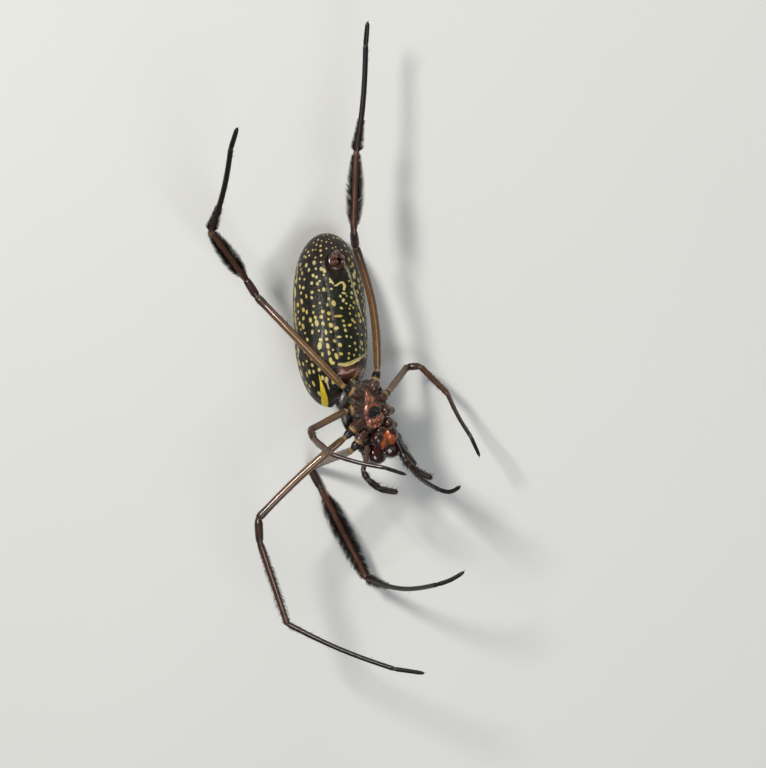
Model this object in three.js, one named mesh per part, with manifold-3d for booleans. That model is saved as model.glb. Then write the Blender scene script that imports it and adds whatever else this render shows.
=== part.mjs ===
// Golden silk orb weaver, a grown female, life size and still. Millimetres, +Z up.
// The spider lies on its back: belly up, head toward -Y, its right side toward +X.
// It rests on its abdomen's back and on the knees of the drawn-up front legs.
import * as THREE from 'three';
import { mergeVertices } from 'three/addons/utils/BufferGeometryUtils.js';
import Module from 'manifold-3d';

const wasm = await Module();
wasm.setup();

// Driving sizes
const gap = 0.3;
const layTilt = -10;
const floorBelowSternum = 14.4;

const prosoma = {
  heading: 16,
  rearLift: 15,
  roll: 30,
  length: 8.6,
  frontY: -4.9,
  width: 7.2,
  headWidth: 4.1,
  undersideZ: -1.7,
  brim: 0.5,
  thoraxHeight: 2.4,
  headHeight: 3.2,
};

const sternum = { frontY: -2.55, rearY: 2.9, halfWidth: 1.35, thickness: 0.8, bevel: 0.15 };

// The lip between the two paddles of the mouth: centre and half sizes, those of the paddle's right
const mouth = {
  lip: [0, -3.5, -0.45, 0.62, 0.62, 0.55],
  paddle: [0.9, -4.05, -0.42, 0.66, 0.98, 0.66],
};

// The right jaw from its base at the head to the tip where the fang is set, its radii along that
// line, and the fang's line with its radii
const jawPlan = {
  base: [1.15, -6.0, -3.3],
  tip: [0.98, -6.25, 0.05],
  bow: 0.06,
  radii: [[0, 0.7], [0.2, 0.95], [0.5, 1.0], [0.75, 0.9], [0.92, 0.66], [1, 0.4]],
  fang: [[1.0, -6.15, 0.68], [0.65, -5.9, 0.92], [0.25, -5.6, 0.85]],
  fangRadii: [0.27, 0.2, 0.06],
};

const waist = { x: -0.2, z: -2.4, drop: 0.05, from: 0.32, to: 0.62, radii: [0.5, 0.45] };

const abdomen = {
  length: 23.2,
  halfWidth: 5.0,
  halfHeight: 4.9,
  widestAt: 0.4,
  frontPower: 2.8,
  rearPower: 3.2,
  overhang: { reach: 1.1, way: -30, until: 0.22 },
  centre: [-5.9, 12.75, -5.6],
  heading: 3,
  rearLift: -12,
  roll: 18,
};

// The ring under the spinnerets, and the two cones of each side: place along the body and radius
const spinnerets = {
  at: 0.79, radius: 1.25, length: 1.5, ringHeight: 0.35,
  foot: 0.5, top: 0.3, lean: 0.35, cones: [[-0.45, 0.42], [0.5, 0.36]],
};

// Legs by pair: lengths of the joints, radii, and the place of the coxa on the prosoma
const pairs = {
  1: {
    femur: 17.0, patella: 3.1, tibia: 14.2, metatarsus: 18.6, tarsus: 4.2,
    root: [1.75, -2.45], hip: [4.3, -4.25],
    brush: { reach: 1.45, from: 0.17, to: 0.93, rows: 7, columns: 4, core: 0.66 },
  },
  2: {
    femur: 15.9, patella: 3.2, tibia: 12.2, metatarsus: 16.2, tarsus: 4.1,
    root: [1.8, -0.85], hip: [4.9, -2.2],
    brush: { reach: 0.68, from: 0.12, to: 0.93, rows: 6, columns: 3, core: 0.48 },
  },
  3: {
    femur: 8.0, patella: 1.8, tibia: 5.4, metatarsus: 7.6, tarsus: 2.9,
    root: [1.8, 0.85], hip: [4.0, 1.2], slim: 0.86,
  },
  4: {
    femur: 17.2, patella: 2.8, tibia: 10.6, metatarsus: 14.4, tarsus: 3.2,
    root: [1.0, 2.3], hip: [2.9, 4.5],
    brush: { reach: 1.25, from: 0.17, to: 0.93, rows: 6, columns: 4, core: 0.64 },
  },
};

// How far the coxae lie under the breast plate, at the root and at the hip
const coxaDepth = { root: 0.55, hip: 0.95 };

const radius = {
  coxaRoot: 0.52, coxa: 0.72, hip: 0.46,
  femurRoot: 0.4, femur: 0.56, knee: 0.57,
  patella: 0.57, tibia: 0.45, ankle: 0.38,
  metatarsus: 0.33, tarsus: 0.3, claw: 0.2,
};

// Pose: the turn of each joint from +X toward the rear and its rise toward the viewer, degrees,
// and how far the joint bows sideways, millimetres. Reach shortens the coxa of a bent-down leg.
// A leg with a fold is bent back on itself at the knee, its patella that far below the femur.
const pose = {
  leg_1_left: {
    pair: 1, side: -1, reach: 1,
    femur: [-157, -67.5, 0], patella: [-63, 0, 0], tibia: [-63, 2, 0],
    metatarsus: [-1, 59, 0.9], tarsus: [26, 16, 0],
  },
  leg_1_right: {
    pair: 1, side: 1, reach: 0.95, fold: 1.35,
    femur: [151.5, -28, 0], patella: [-37, -6, 0], tibia: [-39, -6, 0],
    metatarsus: [-40.5, 65.5, 0.6], tarsus: [22, 60, 0],
  },
  leg_2_left: {
    pair: 2, side: -1, reach: 1,
    femur: [-137, 0, 0.3], patella: [-87, 0, 0], tibia: [-72, -15, 0],
    metatarsus: [-22, 15, 0.4], tarsus: [-8, 6, 0],
  },
  leg_2_right: {
    pair: 2, side: 1, reach: 0.86, fold: 1.35,
    femur: [153, -31, -0.3], patella: [-43, 6, 0], tibia: [-38, 2, 0],
    metatarsus: [-44, 76, 0.2], tarsus: [-40, 72, 0],
  },
  leg_3_left: {
    pair: 3, side: -1, reach: 0.9,
    femur: [-152, 50, 0], patella: [-66, 40, 0], tibia: [-39, 57, 0],
    metatarsus: [-14, 15, 0.2], tarsus: [-18, 0, 0],
  },
  leg_3_right: {
    pair: 3, side: 1, reach: 0.85,
    femur: [53, -58, 0], patella: [4, 12, 0], tibia: [-45, 0, 0],
    metatarsus: [-62, 30, 0.2], tarsus: [-66, 1, 0],
  },
  leg_4_left: {
    pair: 4, side: -1, reach: 1,
    femur: [134, -12, 0], patella: [122, 2, 0], tibia: [126, 43, 0],
    metatarsus: [74, 40, 0.4], tarsus: [71, 30, 0],
  },
  leg_4_right: {
    pair: 4, side: 1, reach: 1,
    femur: [100, 10, 0.9], patella: [97, 43, 0], tibia: [88, 0, 0],
    metatarsus: [85, 4, 0.3], tarsus: [85, 20, 0],
  },
};

// Palps: the ends of their joints in the laid frame, from the mouthparts to the tip
const palps = {
  left: {
    base: [[-0.75, -4.85, -0.5], [-1.0, -7.0, 0.3], [-1.4, -8.2, 0.6]],
    end: [[-0.6, -9.5, 1.0], [1.0, -10.7, 1.2], [3.4, -11.1, 1.2]],
  },
  right: {
    base: [[3.2, -3.95, -2.35], [4.15, -6.1, -2.0], [4.6, -7.2, -1.6]],
    end: [[5.3, -7.8, -0.7], [6.3, -8.5, 0.5], [8.0, -9.2, 1.4]],
  },
};
const palpRadii = { base: [0.42, 0.5, 0.42], end: [0.42, 0.5, 0.45, 0.16] };

// A lock of bristles: half widths and half thicknesses at its root, waist and shoulder
const lock = { lean: 50, bend: 20, widths: [0.42, 0.6, 0.4], thicks: [0.3, 0.22, 0.14], seed: 7 };

// Eyes: four in the middle on one mound, two at each side on another; a mound is centre, half sizes
const eyes = {
  radius: 0.22,
  middle: [[-0.34, -4.85, -4.78], [0.34, -4.85, -4.78], [-0.34, -4.35, -4.88], [0.34, -4.35, -4.88]],
  middleMound: [0, -4.6, -4.73, 0.7, 0.55, 0.22],
  side: [[1.35, -4.6, -4.25], [1.35, -4.25, -4.3]],
  sideMound: [1.35, -4.42, -4.15, 0.3, 0.42, 0.2],
};

// Materials
const material = (color, roughness) => new THREE.MeshStandardMaterial({ color, roughness });
const shell = material(0xb9b2a0, 0.5);
const breast = material(0xa4462c, 0.35);
const jaw = material(0x5a1410, 0.2);
const dark = material(0x14100e, 0.3);
const skin = material(0x23241a, 0.45);
const legBrown = material(0x4a3220, 0.35);
const legBlack = material(0x17120f, 0.4);

// Geometry helpers
const vec = (x, y, z) => new THREE.Vector3(x, y, z);
const degrees = THREE.MathUtils.degToRad;

function direction(turn, rise) {
  const t = degrees(turn);
  const r = degrees(rise);
  return vec(Math.cos(r) * Math.cos(t), Math.cos(r) * Math.sin(t), Math.sin(r));
}

// A closed skin over rings of points of one count, each end closed to its middle or to a tip
function loft(rings, tip) {
  const sides = rings[0].length;
  const points = rings.flat();
  const faces = [];
  for (let ring = 0; ring < rings.length - 1; ring += 1) {
    for (let i = 0; i < sides; i += 1) {
      const j = (i + 1) % sides;
      const a = ring * sides + i;
      const b = ring * sides + j;
      faces.push(a, b, b + sides, a, b + sides, a + sides);
    }
  }
  const middle = (ring) => ring.reduce((sum, p) => sum.add(p), vec(0, 0, 0)).divideScalar(sides);
  const first = points.push(middle(rings[0])) - 1;
  const last = points.push(tip ?? middle(rings.at(-1))) - 1;
  const end = (rings.length - 1) * sides;
  for (let i = 0; i < sides; i += 1) {
    const j = (i + 1) % sides;
    faces.push(first, j, i, last, end + i, end + j);
  }
  const geometry = new THREE.BufferGeometry().setFromPoints(points);
  geometry.setIndex(faces);
  return geometry;
}

// A round bar along a line of stations {at, radius}; an end with a plane is mitred on it
function limb(stations, sides, startPlane, endPlane) {
  const last = stations.length - 1;
  const rings = [];
  stations.forEach(({ at, radius: size, flat = 1 }, index) => {
    const before = stations[Math.max(index - 1, 0)].at;
    const after = stations[Math.min(index + 1, last)].at;
    const along = after.clone().sub(before).normalize();
    const up = vec(0.35, 0.2, 0.91);
    const across = along.clone().cross(up).normalize();
    const over = along.clone().cross(across).normalize();
    const plane = index === 0 ? startPlane : index === last ? endPlane : null;
    const ring = [];
    for (let i = 0; i < sides; i += 1) {
      const angle = (2 * Math.PI * i) / sides;
      const point = at.clone()
        .addScaledVector(across, size * Math.cos(angle))
        .addScaledVector(over, flat * size * Math.sin(angle));
      if (plane) {
        const lift = plane.distanceToPoint(point) / plane.normal.dot(along);
        point.addScaledVector(along, -lift);
      }
      ring.push(point);
    }
    rings.push(ring);
  });
  return loft(rings);
}

function ball(x, y, z, rx, ry, rz, detail = 8) {
  const geometry = new THREE.SphereGeometry(1, detail, Math.ceil(detail * 0.7));
  geometry.scale(rx, ry, rz);
  geometry.translate(x, y, z);
  return geometry;
}

function solid(geometry) {
  const bare = geometry.clone();
  bare.deleteAttribute('normal');
  bare.deleteAttribute('uv');
  const merged = mergeVertices(bare, 1e-5);
  return new wasm.Manifold(new wasm.Mesh({
    numProp: 3,
    vertProperties: new Float32Array(merged.attributes.position.array),
    triVerts: new Uint32Array(merged.index.array),
  }));
}

// The largest closed surface of a solid, as a geometry
function largest(manifold) {
  const pieces = manifold.decompose();
  pieces.sort((a, b) => b.volume() - a.volume());
  const mesh = pieces[0].getMesh();
  const geometry = new THREE.BufferGeometry();
  const { numProp, vertProperties, triVerts } = mesh;
  const positions = new Float32Array((vertProperties.length / numProp) * 3);
  for (let i = 0; i < positions.length / 3; i += 1) {
    for (let k = 0; k < 3; k += 1) positions[i * 3 + k] = vertProperties[i * numProp + k];
  }
  geometry.setAttribute('position', new THREE.BufferAttribute(positions, 3));
  geometry.setIndex(Array.from(triVerts));
  return geometry;
}

function join(geometries) {
  return largest(geometries.map(solid).reduce((sum, next) => sum.add(next)));
}

// Nested frames: the laid body, then the prosoma and the abdomen turned inside it
const spider = new THREE.Group();
const laid = new THREE.Group();
laid.rotation.x = degrees(layTilt);
spider.add(laid);

function turned({ heading, rearLift, roll }) {
  const group = new THREE.Group();
  group.rotation.order = 'ZXY';
  group.rotation.set(degrees(rearLift), degrees(roll), degrees(heading));
  group.updateMatrix();
  return group;
}

const front = turned(prosoma);
const rear = turned(abdomen);
rear.position.set(...abdomen.centre);
rear.updateMatrix();
laid.add(front, rear);

function add(group, name, geometry, look) {
  const mesh = new THREE.Mesh(geometry, look);
  mesh.name = name;
  group.add(mesh);
}

// What the floor would cut: a slab whose top is the floor, in the laid frame
const slabSize = 200;
const slab = new THREE.BoxGeometry(slabSize, slabSize, 20);
slab.translate(0, 0, -10);
slab.rotateX(-degrees(layTilt));
slab.translate(0, 0, -floorBelowSternum);

function onFloor(geometry) {
  return largest(solid(geometry).subtract(solid(slab)));
}

// Prosoma: carapace, sternum, mouthparts, jaws, fangs, eyes
// The carapace is the larger of a wide low oval behind and a narrow high one over the head
function carapace() {
  const { width, headWidth, undersideZ, brim, thoraxHeight, headHeight } = prosoma;
  const oval = (t, middle, half, power) => Math.sqrt(
    Math.max(0, 1 - Math.abs((t - middle) / half) ** power));
  const rings = [];
  const steps = 9;
  const sides = 16;
  for (let step = 0; step <= steps; step += 1) {
    const t = 0.02 + (0.96 * step) / steps;
    const y = prosoma.frontY + prosoma.length * t;
    const thorax = oval(t, 0.58, 0.46, 2.4);
    const head = oval(t, 0.24, 0.26, 3);
    const halfWidth = Math.max((width / 2) * thorax, (headWidth / 2) * head, 0.6);
    const height = Math.max(thoraxHeight * thorax, headHeight * head, brim);
    const ring = [];
    for (let i = 0; i < sides; i += 1) {
      const angle = (2 * Math.PI * i) / sides;
      const dorsal = -Math.sin(angle);
      const x = halfWidth * Math.cos(angle);
      const z = undersideZ - brim + (dorsal < 0 ? height - brim : brim) * dorsal;
      ring.push(vec(x, y, z));
    }
    rings.push(ring);
  }
  return loft(rings);
}

function sternumPlate() {
  const { frontY, rearY, halfWidth, thickness, bevel } = sternum;
  const frontHalf = 0.75;
  const shape = new THREE.Shape();
  shape.moveTo(-frontHalf, frontY);
  shape.lineTo(frontHalf, frontY);
  shape.quadraticCurveTo(halfWidth, frontY + 0.3, halfWidth, frontY + 1.4);
  shape.quadraticCurveTo(halfWidth, 1.2, 0.3, rearY - 0.9);
  shape.quadraticCurveTo(0, rearY, -0.3, rearY - 0.9);
  shape.quadraticCurveTo(-halfWidth, 1.2, -halfWidth, frontY + 1.4);
  shape.quadraticCurveTo(-halfWidth, frontY + 0.3, -frontHalf, frontY);
  const geometry = new THREE.ExtrudeGeometry(shape, {
    depth: thickness - 2 * bevel, bevelThickness: bevel, bevelSize: 0.12, bevelOffset: -0.12,
    bevelSegments: 1, curveSegments: 4,
  });
  geometry.translate(0, 0, -thickness + bevel);
  return geometry;
}

function mouthparts() {
  const [x, ...rest] = mouth.paddle;
  return join([ball(...mouth.lip), ball(-x, ...rest), ball(x, ...rest)]);
}

const toSide = (side, [x, y, z]) => vec(side * x, y, z);

function jaws(side) {
  const base = toSide(side, jawPlan.base);
  const tip = toSide(side, jawPlan.tip);
  const stations = jawPlan.radii.map(([t, size]) => ({
    at: base.clone().lerp(tip, t).add(vec(side * jawPlan.bow * Math.sin(Math.PI * t), 0, 0)),
    radius: size,
  }));
  return limb(stations, 14);
}

function fang(side) {
  const stations = jawPlan.fang.map((point, i) => ({
    at: toSide(side, point), radius: jawPlan.fangRadii[i],
  }));
  return limb(stations, 6);
}

add(front, 'carapace', carapace(), shell);
const rearY = prosoma.frontY + prosoma.length;
add(front, 'pedicel', limb([
  { at: vec(0, rearY + waist.from, waist.z), radius: waist.radii[0] },
  { at: vec(waist.x, rearY + waist.to, waist.z - waist.drop), radius: waist.radii[1] },
], 10), dark);
add(front, 'sternum', sternumPlate(), breast);
add(front, 'mouthparts', mouthparts(), breast);
for (const [word, side] of [['left', -1], ['right', 1]]) {
  add(front, `chelicera_${word}`, jaws(side), jaw);
  add(front, `fang_${word}`, fang(side), dark);
}

function eyeGroup(places, mound, side) {
  const { radius: r } = eyes;
  const domes = places.map(([x, y, z]) => ball(side * x, y, z, r, r, r, 6));
  const [x, ...rest] = mound;
  return join([ball(side * x, ...rest, 8), ...domes]);
}

add(front, 'eyes_middle', eyeGroup(eyes.middle, eyes.middleMound, 1), dark);
add(front, 'eyes_left', eyeGroup(eyes.side, eyes.sideMound, -1), dark);
add(front, 'eyes_right', eyeGroup(eyes.side, eyes.sideMound, 1), dark);

// Abdomen: a long blunt-ended barrel; t runs from its front to its rear end
function abdomenWidth(t) {
  const { widestAt, frontPower, rearPower } = abdomen;
  const span = t < widestAt ? widestAt : 1 - widestAt;
  const power = t < widestAt ? frontPower : rearPower;
  return Math.sqrt(Math.max(0, 1 - Math.abs((t - widestAt) / span) ** power));
}

// The front end hangs forward over the waist on one side, by a share of the overhang's reach
function abdomenBody() {
  const stops = [0.004, 0.03, 0.08, 0.16, 0.27, 0.4, 0.53, 0.66, 0.77, 0.86, 0.93, 0.975, 0.997];
  const sides = 20;
  const { reach, way, until } = abdomen.overhang;
  const rings = stops.map((t) => {
    const size = abdomenWidth(t);
    const y = (t - 0.5) * abdomen.length;
    const near = 1 - THREE.MathUtils.smoothstep(t, 0, until);
    const ring = [];
    for (let i = 0; i < sides; i += 1) {
      const angle = (2 * Math.PI * i) / sides;
      const share = near * (1 + Math.cos(angle - degrees(way))) / 2;
      ring.push(vec(-abdomen.halfWidth * size * Math.cos(angle), y - reach * share,
        abdomen.halfHeight * size * Math.sin(angle)));
    }
    return ring;
  });
  const geometry = loft(rings);
  geometry.applyMatrix4(rear.matrix);
  return onFloor(geometry);
}

add(laid, 'abdomen', abdomenBody(), skin);

function spinneretCluster() {
  const y = (spinnerets.at - 0.5) * abdomen.length;
  const base = abdomen.halfHeight * abdomenWidth(spinnerets.at) + gap;
  const { radius: r, length, ringHeight, lean, cones } = spinnerets;
  const pieces = [ball(0, y, base + ringHeight, r, r, ringHeight, 10)];
  for (const side of [-1, 1]) {
    for (const [dy, size] of cones) {
      const foot = vec(side * spinnerets.foot, y + dy, base + 0.3);
      const top = vec(side * spinnerets.top, y + dy * 0.6 + lean, base + length);
      pieces.push(limb([
        { at: foot, radius: size }, { at: foot.clone().lerp(top, 0.6), radius: size * 0.85 },
        { at: top, radius: size * 0.45 },
      ], 8));
    }
  }
  return join(pieces);
}

add(rear, 'spinnerets', spinneretCluster(), dark);

// A steady stream of numbers from 0 to 1, the same at each run
let state = lock.seed;
function chance() {
  state = (state * 16807) % 2147483647;
  return state / 2147483647;
}

const between = (low, high) => low + (high - low) * chance();

// One flat tapered lock: rooted in the leg, leaning toward the foot and bending further at its tip
function lockOfBristles(foot, outward, along, reach) {
  const across = along.clone().cross(outward).normalize();
  const lean = degrees(lock.lean + between(-6, 6));
  const way = (angle) => outward.clone().multiplyScalar(Math.cos(angle))
    .addScaledVector(along, Math.sin(angle));
  const length = reach / Math.cos(lean + degrees(lock.bend) / 2);
  const rings = [];
  const at = foot.clone();
  [0, 0.4, 0.35].forEach((step, i) => {
    const angle = lean + (degrees(lock.bend) * i) / 2;
    at.addScaledVector(way(angle), step * length);
    const thick = way(angle + Math.PI / 2).multiplyScalar(lock.thicks[i]);
    const wide = across.clone().multiplyScalar(lock.widths[i]);
    rings.push([
      at.clone().add(wide), at.clone().add(thick), at.clone().sub(wide), at.clone().sub(thick),
    ]);
  });
  return loft(rings, at.addScaledVector(way(lean + degrees(lock.bend)), 0.25 * length));
}

// A block that fills everything past a plane
function past(plane) {
  const block = new THREE.BoxGeometry(30, 30, 30);
  block.translate(0, 0, 15);
  const turn = new THREE.Quaternion().setFromUnitVectors(vec(0, 0, 1), plane.normal);
  block.applyQuaternion(turn);
  const at = plane.normal.clone().multiplyScalar(-plane.constant);
  block.translate(at.x, at.y, at.z);
  return block;
}

// A shank with rows of locks round it, each row set between the columns of the last
function bristled(shank, from, to, brush, endPlane) {
  const along = to.clone().sub(from).normalize();
  const side = along.clone().cross(vec(0, 0, 1)).normalize();
  const back = side.clone().cross(along);
  const locks = [];
  for (let row = 0; row < brush.rows; row += 1) {
    const t = brush.from + (brush.to - brush.from) * ((row + 0.5) / brush.rows) ** 0.9;
    const swell = 0.72 + 0.28 * Math.sin(Math.PI * Math.min(1, (row + 1) / brush.rows));
    for (let column = 0; column < brush.columns; column += 1) {
      const angle = (2 * Math.PI * (column + 0.5 * (row % 2) + between(-0.12, 0.12))) / brush.columns;
      const outward = side.clone().multiplyScalar(Math.cos(angle))
        .addScaledVector(back, Math.sin(angle));
      const foot = from.clone().lerp(to, t - 0.06 + between(-0.01, 0.01))
        .addScaledVector(outward, 0.08);
      locks.push(lockOfBristles(foot, outward, along, brush.reach * swell * between(0.92, 1.04)));
    }
  }
  const whole = [shank, ...locks].map(solid).reduce((sum, next) => sum.add(next));
  return largest(whole.subtract(solid(past(endPlane))));
}

// Legs
const toLaid = (x, y, z) => vec(x, y, z).applyMatrix4(front.matrix);

function mitre(at, before, after) {
  return new THREE.Plane().setFromNormalAndCoplanarPoint(
    before.clone().add(after).normalize(), at);
}

const backed = (plane, by) => new THREE.Plane(plane.normal.clone(), plane.constant + by);

function segment(from, to, sizes, sides, bow, startPlane, endPlane) {
  const along = to.clone().sub(from).normalize();
  const sideways = along.clone().cross(vec(0, 0, 1)).normalize();
  const stops = sizes.map(([t, size]) => ({
    at: from.clone().lerp(to, t).addScaledVector(sideways, bow * Math.sin(Math.PI * t)),
    radius: size,
  }));
  return limb(stops, sides, startPlane, endPlane);
}

for (const [word, plan] of Object.entries(palps)) {
  const base = plan.base.map((p) => vec(...p));
  const end = [base.at(-1), ...plan.end.map((p) => vec(...p))];
  const knee = mitre(base.at(-1), base[2].clone().sub(base[1]), end[1].clone().sub(end[0]));
  add(laid, `palp_${word}_base`, limb(base.map((at, i) => ({ at, radius: palpRadii.base[i] })),
    10, null, backed(knee, gap / 2)), breast);
  add(laid, `palp_${word}_end`, limb(end.map((at, i) => ({ at, radius: palpRadii.end[i] })),
    10, backed(knee, -gap / 2), null), legBlack);
}

for (const [name, plan] of Object.entries(pose)) {
  const pair = pairs[plan.pair];
  const small = pair.slim ?? 1;
  const root = vec(...pair.root, 0);
  const hip = root.clone().lerp(vec(...pair.hip, 0), plan.reach);
  const coxaFrom = toLaid(plan.side * root.x, root.y, -coxaDepth.root);
  const coxaTo = toLaid(plan.side * hip.x, hip.y, -coxaDepth.hip);
  const fold = plan.fold ?? 0;
  const joints = [coxaTo];
  const ways = [coxaTo.clone().sub(coxaFrom).normalize()];
  for (const part of ['femur', 'patella', 'tibia', 'metatarsus', 'tarsus']) {
    const [turn, rise] = plan[part];
    ways.push(direction(turn, rise));
    joints.push(joints.at(-1).clone().addScaledVector(ways.at(-1), pair[part]));
    if (part === 'femur') joints[1].z -= fold;
  }
  const kneeTop = joints[1].clone();
  kneeTop.z += fold;
  const cuts = joints.slice(0, 4).map((at, i) => mitre(at, ways[i], ways[i + 1]));
  const half = gap / 2;
  const r = radius;

  add(laid, `${name}_coxa`, segment(coxaFrom, coxaTo,
    [[0, r.coxaRoot], [0.35, r.coxa], [0.62, r.coxa * 0.95], [0.74, r.hip * 0.92], [1, r.hip]],
    10, 0, null, backed(cuts[0], half)), breast);
  const kneeEnd = fold ? [[0.98, r.knee * 0.9], [1, r.knee * 0.4]] : [[1, r.knee * small]];
  add(laid, `${name}_femur`, onFloor(segment(joints[0], kneeTop,
    [[0, r.femurRoot], [0.12, r.femur], [0.5, r.femur * small], [0.85, r.femur * 0.9 * small],
      [0.96, r.knee * small], ...kneeEnd],
    8, plan.femur[2], backed(cuts[0], -half), fold ? null : backed(cuts[1], half))), legBrown);
  const kneeStart = fold ? [[-0.1, r.knee * 0.4], [0, r.knee * 0.9]] : [[0, r.knee * small]];
  add(laid, `${name}_patella`, onFloor(segment(joints[1], joints[2],
    [...kneeStart, [0.4, r.patella * small], [1, r.tibia * small]],
    8, 0, fold ? null : backed(cuts[1], -half), backed(cuts[2], half))), legBrown);
  const brush = pair.brush;
  const tibia = brush
    ? [[0, r.tibia], [0.2, r.tibia], [0.45, brush.core], [0.85, brush.core], [1, r.ankle]]
    : [[0, r.tibia * small], [0.4, r.tibia * small], [1, r.ankle * small]];
  const shank = segment(joints[2], joints[3], tibia,
    8, plan.tibia[2], backed(cuts[2], -half), backed(cuts[3], half));
  add(laid, `${name}_tibia`, onFloor(
    brush ? bristled(shank, joints[2], joints[3], brush, backed(cuts[3], half)) : shank), legBlack);

  const foot = [];
  const from = joints[3];
  const ankle = joints[4];
  const bowWay = ways[4].clone().cross(vec(0, 0, 1)).normalize();
  for (const [t, size] of [[0, r.ankle * 0.92], [0.2, r.metatarsus], [0.45, r.metatarsus * 0.93],
    [0.7, r.metatarsus * 0.9]]) {
    foot.push({
      at: from.clone().lerp(ankle, t).addScaledVector(bowWay,
        plan.metatarsus[2] * Math.sin(Math.PI * t)),
      radius: size * small,
    });
  }
  foot.push({ at: ankle.clone().addScaledVector(ways[4], -0.4), radius: r.tarsus });
  foot.push({ at: ankle.clone().addScaledVector(ways[5], 0.5), radius: r.tarsus });
  foot.push({ at: joints[5].clone().addScaledVector(ways[5], -0.8), radius: r.tarsus * 0.85 });
  foot.push({ at: joints[5], radius: r.claw });
  add(laid, `${name}_foot`, onFloor(limb(foot, 8, backed(cuts[3], -half), null)), legBlack);
}

// The origin is the middle of the foot of the whole model's box
spider.updateMatrixWorld(true);
const box = new THREE.Box3().setFromObject(spider, true);
spider.position.set(
  -(box.min.x + box.max.x) / 2,
  -(box.min.y + box.max.y) / 2,
  -box.min.z,
);

export default spider;
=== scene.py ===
import math
import bpy
import numpy as np
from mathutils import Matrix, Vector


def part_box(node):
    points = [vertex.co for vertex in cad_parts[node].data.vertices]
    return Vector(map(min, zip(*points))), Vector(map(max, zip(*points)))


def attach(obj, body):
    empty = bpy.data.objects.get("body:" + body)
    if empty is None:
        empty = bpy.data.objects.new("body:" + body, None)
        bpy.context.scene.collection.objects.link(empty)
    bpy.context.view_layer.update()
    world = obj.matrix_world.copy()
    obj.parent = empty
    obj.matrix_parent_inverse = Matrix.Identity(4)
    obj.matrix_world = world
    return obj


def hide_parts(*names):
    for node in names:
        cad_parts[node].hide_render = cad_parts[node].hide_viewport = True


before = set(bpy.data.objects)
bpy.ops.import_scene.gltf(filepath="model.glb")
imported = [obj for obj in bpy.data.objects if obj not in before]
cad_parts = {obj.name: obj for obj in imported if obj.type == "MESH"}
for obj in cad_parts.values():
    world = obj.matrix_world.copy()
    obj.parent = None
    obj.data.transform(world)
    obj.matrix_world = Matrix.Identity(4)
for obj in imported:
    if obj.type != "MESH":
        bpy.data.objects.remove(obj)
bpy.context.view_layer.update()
print("frame loaded:", len(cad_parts), "nodes")

mm = 0.001
chance = np.random.default_rng(41)


# Places: the spider's own frame is in millimetres, the sternum's middle near the origin, belly up and
# head toward -Y. It lies tilted on the floor, and the sternum's node says where.

placing = {
    "layTilt": -10.0,
    "sternumMiddle": (-0.0074, -0.1781, -0.4230),  # of its box, which is not quite at the origin
    "front": {"heading": 16, "rearLift": 15, "roll": 30},
    "rear": {"heading": 3, "rearLift": -12, "roll": 18},
    "abdomenMiddle": (-5.9, 12.75, -5.6),
    "overFloor": 0.02,
}


def turned(axis, angle):
    # a turn by an angle in degrees about x, y or z, as a 3x3 array
    cosine, sine = math.cos(math.radians(angle)), math.sin(math.radians(angle))
    first, second = {"x": (1, 2), "y": (2, 0), "z": (0, 1)}[axis]
    turn = np.eye(3)
    turn[first, first] = turn[second, second] = cosine
    turn[first, second] = -sine
    turn[second, first] = sine
    return turn


def bodyTurn(way):
    return turned("z", way["heading"]) @ turned("x", way["rearLift"]) @ turned("y", way["roll"])


layTurn = turned("x", placing["layTilt"])
frontTurn = bodyTurn(placing["front"])
rearTurn = bodyTurn(placing["rear"])
sternumLow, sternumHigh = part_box("sternum")
sternumAt = (np.array(sternumLow) + np.array(sternumHigh)) / 2 / mm
origin = sternumAt - np.array(placing["sternumMiddle"])


def toFrame(points):
    # spider's own millimetres to the frame's metres, nothing under the floor
    placed = (points @ layTurn.T + origin) * mm
    placed[..., 2] = np.maximum(placed[..., 2], placing["overFloor"] * mm)
    return placed


def fromFront(points):
    return points @ frontTurn.T


def fromRear(points):
    return points @ rearTurn.T + np.array(placing["abdomenMiddle"])


def unit(vectors):
    return vectors / np.linalg.norm(vectors, axis=-1, keepdims=True)


def smooth(low, high, values):
    # 0 below low, 1 above high, an S curve between
    t = np.clip((values - low) / (high - low), 0, 1)
    return t * t * (3 - 2 * t)


def bump(values, middle, width):
    # 1 at the middle, falling off as a bell
    return np.exp(-((values - middle) / width) ** 2)


def between(low, high, count):
    return low + (high - low) * chance.random(count)


def readOff(table, at):
    # the value at each place, from a table of (place, value) rows
    return np.interp(at, *zip(*table))


def fullTurn(count):
    # angles at even steps once around
    return np.linspace(0, 2 * math.pi, count, endpoint=False)


# Meshes from grids

def isInsideOut(points):
    # the sign of the volume inside a closed tube of rings, from its quads' areas and places
    a = points - points.reshape(-1, 3).mean(0)
    b = np.roll(a, -1, axis=1)
    areas = np.cross(b[1:] - a[:-1], a[1:] - b[:-1])
    return np.sum(areas * (a[:-1] + b[:-1] + a[1:] + b[1:])) < 0


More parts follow.
